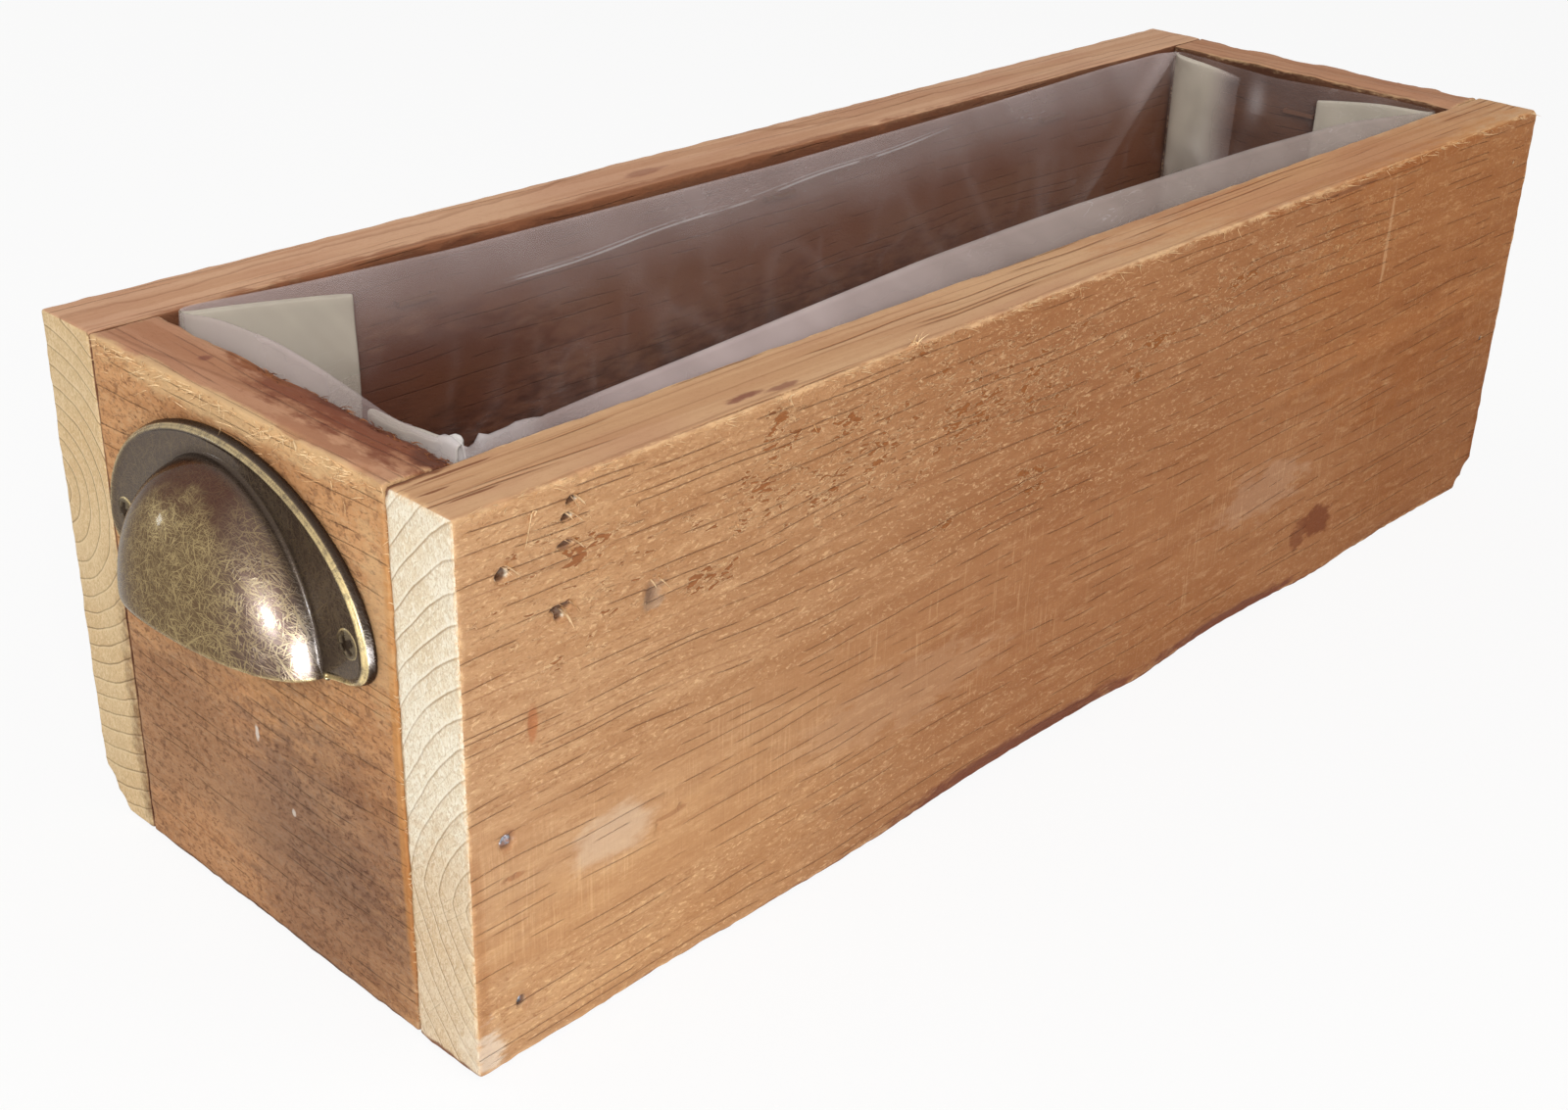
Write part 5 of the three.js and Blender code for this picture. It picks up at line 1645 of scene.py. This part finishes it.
def turned(section, shape=None):
    """Spins (radius, height) points round the height axis and closes both ends; shape may then move them."""
    angle = np.arange(SPIN) * 2 * math.pi / SPIN
    rings = [np.stack([r * np.cos(angle), r * np.sin(angle), np.full(SPIN, h)], axis=1) for r, h in section]
    points = np.concatenate(rings + [[[0, 0, section[0][1]], [0, 0, section[-1][1]]]])
    faces = []
    for ring in range(len(section) - 1):
        for i in range(SPIN):
            j = (i + 1) % SPIN
            a, b = ring * SPIN, (ring + 1) * SPIN
            faces.append((a + i, a + j, b + j, b + i))
    first, last = len(section) * SPIN, len(section) * SPIN + 1
    end = (len(section) - 1) * SPIN
    faces += [(first, (i + 1) % SPIN, i) for i in range(SPIN)]
    faces += [(last, end + i, end + (i + 1) % SPIN) for i in range(SPIN)]
    if shape:
        points = shape(points)
    return points, faces


HEAD_RADIUS = 3.3 * MM
HEAD_DOME = 0.95 * MM
SCREW_SINK = 0.35 * MM
CROSS_REACH = 2.5 * MM
CROSS_WIDTH = 1.05 * MM
CROSS_DEPTH = 0.45 * MM


def cross_share(points):
    """1 in the middle of the cross in a screw head, 0 outside it and below the head."""
    x, y = np.abs(points[:, 0]), np.abs(points[:, 1])
    slot = soft_step(np.minimum(x, y), CROSS_WIDTH, 0.5 * CROSS_WIDTH)
    reach = soft_step(np.maximum(x, y), CROSS_REACH, 0.6 * CROSS_REACH)
    return slot * reach * (points[:, 2] > -1.2 * MM)


def cross_pressed(points):
    """Presses a tapered cross into the top of a screw head."""
    top = points[:, 2] > 0.05 * MM
    points[:, 2] -= CROSS_DEPTH * cross_share(points) * top
    return points


def screw_section():
    """Half section of the oval head from its middle outwards, then the countersunk cone and the shank."""
    steps = np.linspace(0.03, 0.97, 22)
    dome = [(HEAD_RADIUS * part, HEAD_DOME * (1 - part**2) + 0.12 * MM) for part in steps]
    edge = [(HEAD_RADIUS, 0.05 * MM), (HEAD_RADIUS, -0.1 * MM)]
    return dome + edge + [(1.6 * MM, -1.8 * MM), (1.5 * MM, -6 * MM), (0.4 * MM, -9 * MM)]


def placed_on(points, place, out, roll):
    """Stands a turned shape at place with its top facing out, turned by roll round that axis."""
    stand = Vector(out).to_track_quat("Z", "Y").to_matrix() @ Matrix.Rotation(roll, 3, "Z")
    return points @ np.array(stand).T + np.array(place)


def pull_screw(end, row, side, roll):
    low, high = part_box(f"{end}_pull_screw_{row}")
    face = side * (-LEFT_LOW[0] + FLANGE_DEPTH - SCREW_SINK)
    place = (face, (low.y + high.y) / 2, (low.z + high.z) / 2)
    points, faces = turned(screw_section(), cross_pressed)
    slots = cross_share(points)
    points = placed_on(points, place, (side, 0, 0), roll)
    piece = new_piece(f"{end}_{row}_brass_screw", points, faces, screw_brass)
    spread = np.linalg.norm(points - np.array(place), axis=1) / HEAD_RADIUS
    add_values(piece, "worn", np.clip(1 - np.abs(spread - 0.93) / 0.1, 0, 1) * 0.8)
    # The cross is darkened: grime and painted shade in the recess.
    add_values(piece, "grime", slots)
    add_values(piece, "belly", np.clip(1 - spread, 0, 1))
    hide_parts(f"{end}_pull_screw_{row}")
    return piece


screws = [pull_screw("left", "front", -1, 0.6), pull_screw("left", "rear", -1, 0.1)]
screws += [pull_screw("right", "front", 1, 0.3), pull_screw("right", "rear", 1, 1.2)]


def steel(name, bright, dull, rust, rust_amount):
    material, n, shader = new_material(name, roughness=0.45)
    mm = place_in_mm(n)
    cloud = n.noise(n.scaled(mm, (0.5, 0.5, 0.5)), detail=4, rough=0.65)
    scuff = n.noise(n.scaled(mm, (4, 0.6, 4), turn=(20, 30, 40)), detail=2)
    colour = n.mix(n.band(scuff, 0.4, 0.65), dull, bright)
    rusty = n.band(cloud, 0.72 - rust_amount, 0.86 - rust_amount)
    colour = n.mix(rusty, colour, rust)
    n.feed(shader["Base Color"], colour)
    n.feed(shader["Metallic"], n.band(rusty, 0, 1, 0.85, 0.1))
    n.feed(shader["Roughness"], n.band(rusty, 0, 1, 0.36, 0.85))
    n.feed(shader["Normal"], n.bump(n.math("ADD", cloud, n.math("MULTIPLY", scuff, 0.4)), 0.5, 0.15 * MM))
    return material


nail_steel = steel("nail steel", (0.24, 0.245, 0.255), (0.115, 0.115, 0.12), (0.2, 0.075, 0.03), 0.22)
staple_steel = steel("staple steel", (0.12, 0.084, 0.066), (0.078, 0.048, 0.036), (0.15, 0.065, 0.035), 0.45)
NAIL_SIZES = {"low": 0.95 * MM, "middle": 1.45 * MM, "top": 0.9 * MM}
NAIL_SUNK = {"low": 0.9, "middle": 0.55, "top": 2.0}


def nail(side, end, level, place, out, seed):
    radius = NAIL_SIZES[level] * (0.7 if end == "right" else 1.0)
    section = [(radius * part, -0.12 * MM * part**3) for part in np.linspace(0.1, 0.9, 6)]
    section += [(radius, -0.28 * MM), (radius, -0.7 * MM), (0.6 * radius, -1.0 * MM)]
    section += [(0.55 * radius, -14 * MM), (0.2 * radius, -16 * MM)]
    points, faces = turned(section)
    head = points[:, 2] > -0.2 * MM
    points[:, 2] += head * 0.22 * MM * wander(points, (1.3 * MM,) * 3, seed)
    points[:, :2] *= (1 + 0.09 * wander(points, (1.6 * MM,) * 3, seed + 50))[:, None]
    points = placed_on(points, place - Vector(out) * (NAIL_SUNK[level] * MM), out, 0.7 * seed)
    piece = new_piece(f"{side}_{end}_{level}_wire_nail", points, faces, nail_steel)
    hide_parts(f"{side}_{end}_nail_{level}")
    return piece


nails = []
for side, out in (("front", (0, -1, 0)), ("rear", (0, 1, 0))):
    for end in ("left", "right"):
        for level, place in zip(("low", "middle", "top"), nail_places(side, end)):
            nails.append(nail(side, end, level, place, out, 201 + len(nails)))
for node_name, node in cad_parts.items():
    if "staple" in node_name or "brad" in node_name:
        node.data.materials.clear()
        node.data.materials.append(staple_steel if "staple" in node_name else nail_steel)
print("screws:", len(screws), "nails:", len(nails))

# %% [markdown]
# Rough sawing leaves splinters: short slivers that stand up along the arrises, out of the torn places and
# round the old holes. They are straw-coloured on the arrises and by the holes, orange on the torn front
# and red on the chewed end. A particle system could scatter hairs, but here their places matter. Each
# splinter is a thin three-sided needle that follows a bent path and is rooted a little below the surface.
# The needles of one kind on one board are joined into one mesh.


# %% Splinters: needles
def bent(root, way, lean, length):
    """A path from root along way that bends towards lean."""
    way, lean = Vector(way).normalized(), Vector(lean).normalized()
    parts = np.linspace(0, 1, 5)
    return [Vector(root) + way * length * part + lean * length * 0.45 * part**2 for part in parts]


SKEW = Vector((0.31, 0.22, 0.93))


def needles(name, material, paths, flat=1.0):
    """Joins many needles into one piece. Each has a path and a root width; a larger flat makes flakes."""
    points, faces = [], []
    for path, width in paths:
        start, count = len(points), len(path) - 1
        for step in range(count):
            way = (path[step + 1] - path[step]).normalized()
            side = way.cross(SKEW).normalized()
            up = way.cross(side)
            reach = width * (1 - 0.75 * step / count)
            for angle in (0.0, 2.1, 4.2):
                points.append(path[step] + (side * math.cos(angle) * flat + up * math.sin(angle)) * reach)
        points.append(path[-1])
        faces.append((start + 2, start + 1, start))
        for ring in range(start, start + 3 * (count - 1), 3):
            faces += [(ring + i, ring + (i + 1) % 3, ring + 3 + (i + 1) % 3, ring + 3 + i) for i in range(3)]
        last = start + 3 * (count - 1)
        faces += [(last + i, last + (i + 1) % 3, len(points) - 1) for i in range(3)]
    return new_piece(name, points, faces, material, smooth=False)


def fibre_material(name, dark, light):
    material, n, shader = new_material(name, roughness=0.8)
    tone = n.noise(n.scaled(place_in_mm(n), (0.4, 0.4, 0.4)), detail=2)
    n.feed(shader["Base Color"], n.mix(n.band(tone, 0.38, 0.62), dark, light))
    n.feed(shader["Roughness"], n.band(tone, 0.3, 0.7, 0.7, 0.9))
    shader["Specular IOR Level"].default_value = 0.25
    return material


straw = fibre_material("straw splinters", (0.58, 0.33, 0.15), (0.84, 0.62, 0.36))
orange_fibre = fibre_material("torn orange fibres", (0.36, 0.12, 0.03), (0.76, 0.46, 0.21))
red_fibre = fibre_material("torn red fibres", (0.12, 0.04, 0.02), (0.3, 0.115, 0.045))
draw = np.random.default_rng(77)


def sliver(root, way, lean, long, thick):
    """One splinter with its root in millimetres; long and thick are ranges in millimetres."""
    length, width = draw.uniform(*long) * MM, draw.uniform(*thick) * MM
    return bent([c * MM for c in root], way, lean, length), width


def either_way(low, high):
    """A random size from low to high, forwards or backwards."""
    return draw.choice([-1, 1]) * draw.uniform(low, high)


# %% Splinters: front board
top_mm = RIM / MM
slivers = []
for x in draw.uniform(-198, 196, 260):
    root = (x, FRONT_FACE + 0.5, top_mm - draw.uniform(0.2, 1.4))
    way = (either_way(0.5, 1), -draw.uniform(0.05, 0.5), draw.uniform(-0.1, 0.4))
    slivers.append(sliver(root, way, (0, -0.5, draw.uniform(-0.6, 0.6)), (1.2, 4.5), (0.06, 0.14)))
for z in draw.uniform(2, top_mm - 1, 190):
    inner_edge = draw.random() < 0.4
    root = (END_FACE + 0.3, FRONT_HIGH[1] / MM - 0.5 if inner_edge else FRONT_FACE + 0.4, z)
    way = (
        -draw.uniform(0.05, 0.4),
        draw.uniform(0, 0.6) if inner_edge else -draw.uniform(0.2, 0.8),
        draw.uniform(-0.8, 0.8),
    )
    slivers.append(sliver(root, way, (0, 0.2, draw.uniform(-1, 1)), (0.5, 1.6), (0.06, 0.12)))
for _ in range(8):
    root = (-81 + draw.uniform(-2, 2), FRONT_FACE + 0.8, top_mm - 0.4)
    way = (draw.uniform(-1, 0.2), -draw.uniform(0.1, 0.5), draw.uniform(0.5, 1))
    lean = (draw.uniform(-1, 1), -0.3, draw.uniform(-1, 0.2))
    slivers.append(sliver(root, way, lean, (2.5, 5.0), (0.14, 0.25)))
LOOSE_FIBRE = [
    (-182.3, 115.0), (-182.1, 116.0), (-182.7, 116.4), (-183.3, 115.6),
    (-183.7, 114.0), (-184.2, 112.0), (-184.7, 110.2), (-185.1, 108.2),
]
loose = [Vector((x * MM, (FRONT_FACE - 0.3) * MM, z * MM)) for x, z in LOOSE_FIBRE]
loose[0].y = loose[-1].y = (FRONT_FACE + 0.2) * MM
slivers.append((loose, 0.16 * MM))
front_splinters = needles("front_arris_splinters", straw, slivers)

torn_bits = []
for x, z, wide, tall in TORN_SPOTS:
    for _ in range(wide * tall // 24):
        root = (
            x + draw.normal(0, 0.45 * wide),
            FRONT_FACE + 0.25,
            min(top_mm - 1, z + draw.normal(0, 0.45 * tall)),
        )
        way = (draw.uniform(-1, 1), -draw.uniform(0.05, 0.3), draw.uniform(-0.6, 0.6))
        torn_bits.append(sliver(root, way, (0, -0.3, draw.uniform(-1, 1)), (0.7, 2.0), (0.07, 0.14)))
front_torn = needles("front_torn_fibres", orange_fibre, torn_bits)

flakes = []
for x, z, wide, tall, deep in HOLES[:6] + HOLES[7:8]:
    for shift, share in ((0.5, 1.0), (-0.1, 0.6)):
        root = (x + shift * wide, FRONT_FACE + 0.2, z + 0.9 * tall)
        way = (draw.uniform(0.2, 0.9), -draw.uniform(0.3, 0.6), -draw.uniform(0.2, 0.7))
        long, thick = (2.2 * share, 3.6 * share), (0.16 * share, 0.24 * share)
        flakes.append(sliver(root, way, (0.4, 0.1, -1), long, thick))
front_flakes = needles("front_hole_flakes", straw, flakes, flat=4.5)

# %% Splinters: near end board
slivers = []
for y in draw.uniform(-48, 48, 260):
    root = (END_FACE + 0.4, y, top_mm - 0.3 - abs(draw.normal(0, 2.4)))
    way = (-draw.uniform(0.05, 0.4), either_way(0.4, 1), draw.uniform(-0.2, 0.4))
    slivers.append(sliver(root, way, (-0.4, 0, draw.uniform(-0.6, 0.6)), (1.0, 3.8), (0.07, 0.16)))
end_splinters = needles("left_end_splinters", straw, slivers)

fibres = []
for y in draw.uniform(-48.5, 12, 320):
    wide = np.interp(y, [-49, -20, 12], [7.5, 5.5, 2.0])
    root = (LEFT_HIGH[0] / MM - 0.3 - draw.uniform(0, wide), y, top_mm - 0.7)
    way = (draw.uniform(-0.3, 0.3), either_way(0.5, 1), draw.uniform(0.1, 0.5))
    fibres.append(sliver(root, way, (0, draw.uniform(-0.5, 0.5), -0.4), (1.0, 3.4), (0.08, 0.2)))
torn_fibres = needles("left_end_torn_fibres", red_fibre, fibres)
bits = (front_splinters, front_torn, front_flakes, end_splinters, torn_fibres)
print("splinter faces:", [len(p.data.polygons) for p in bits])

# %% [markdown]
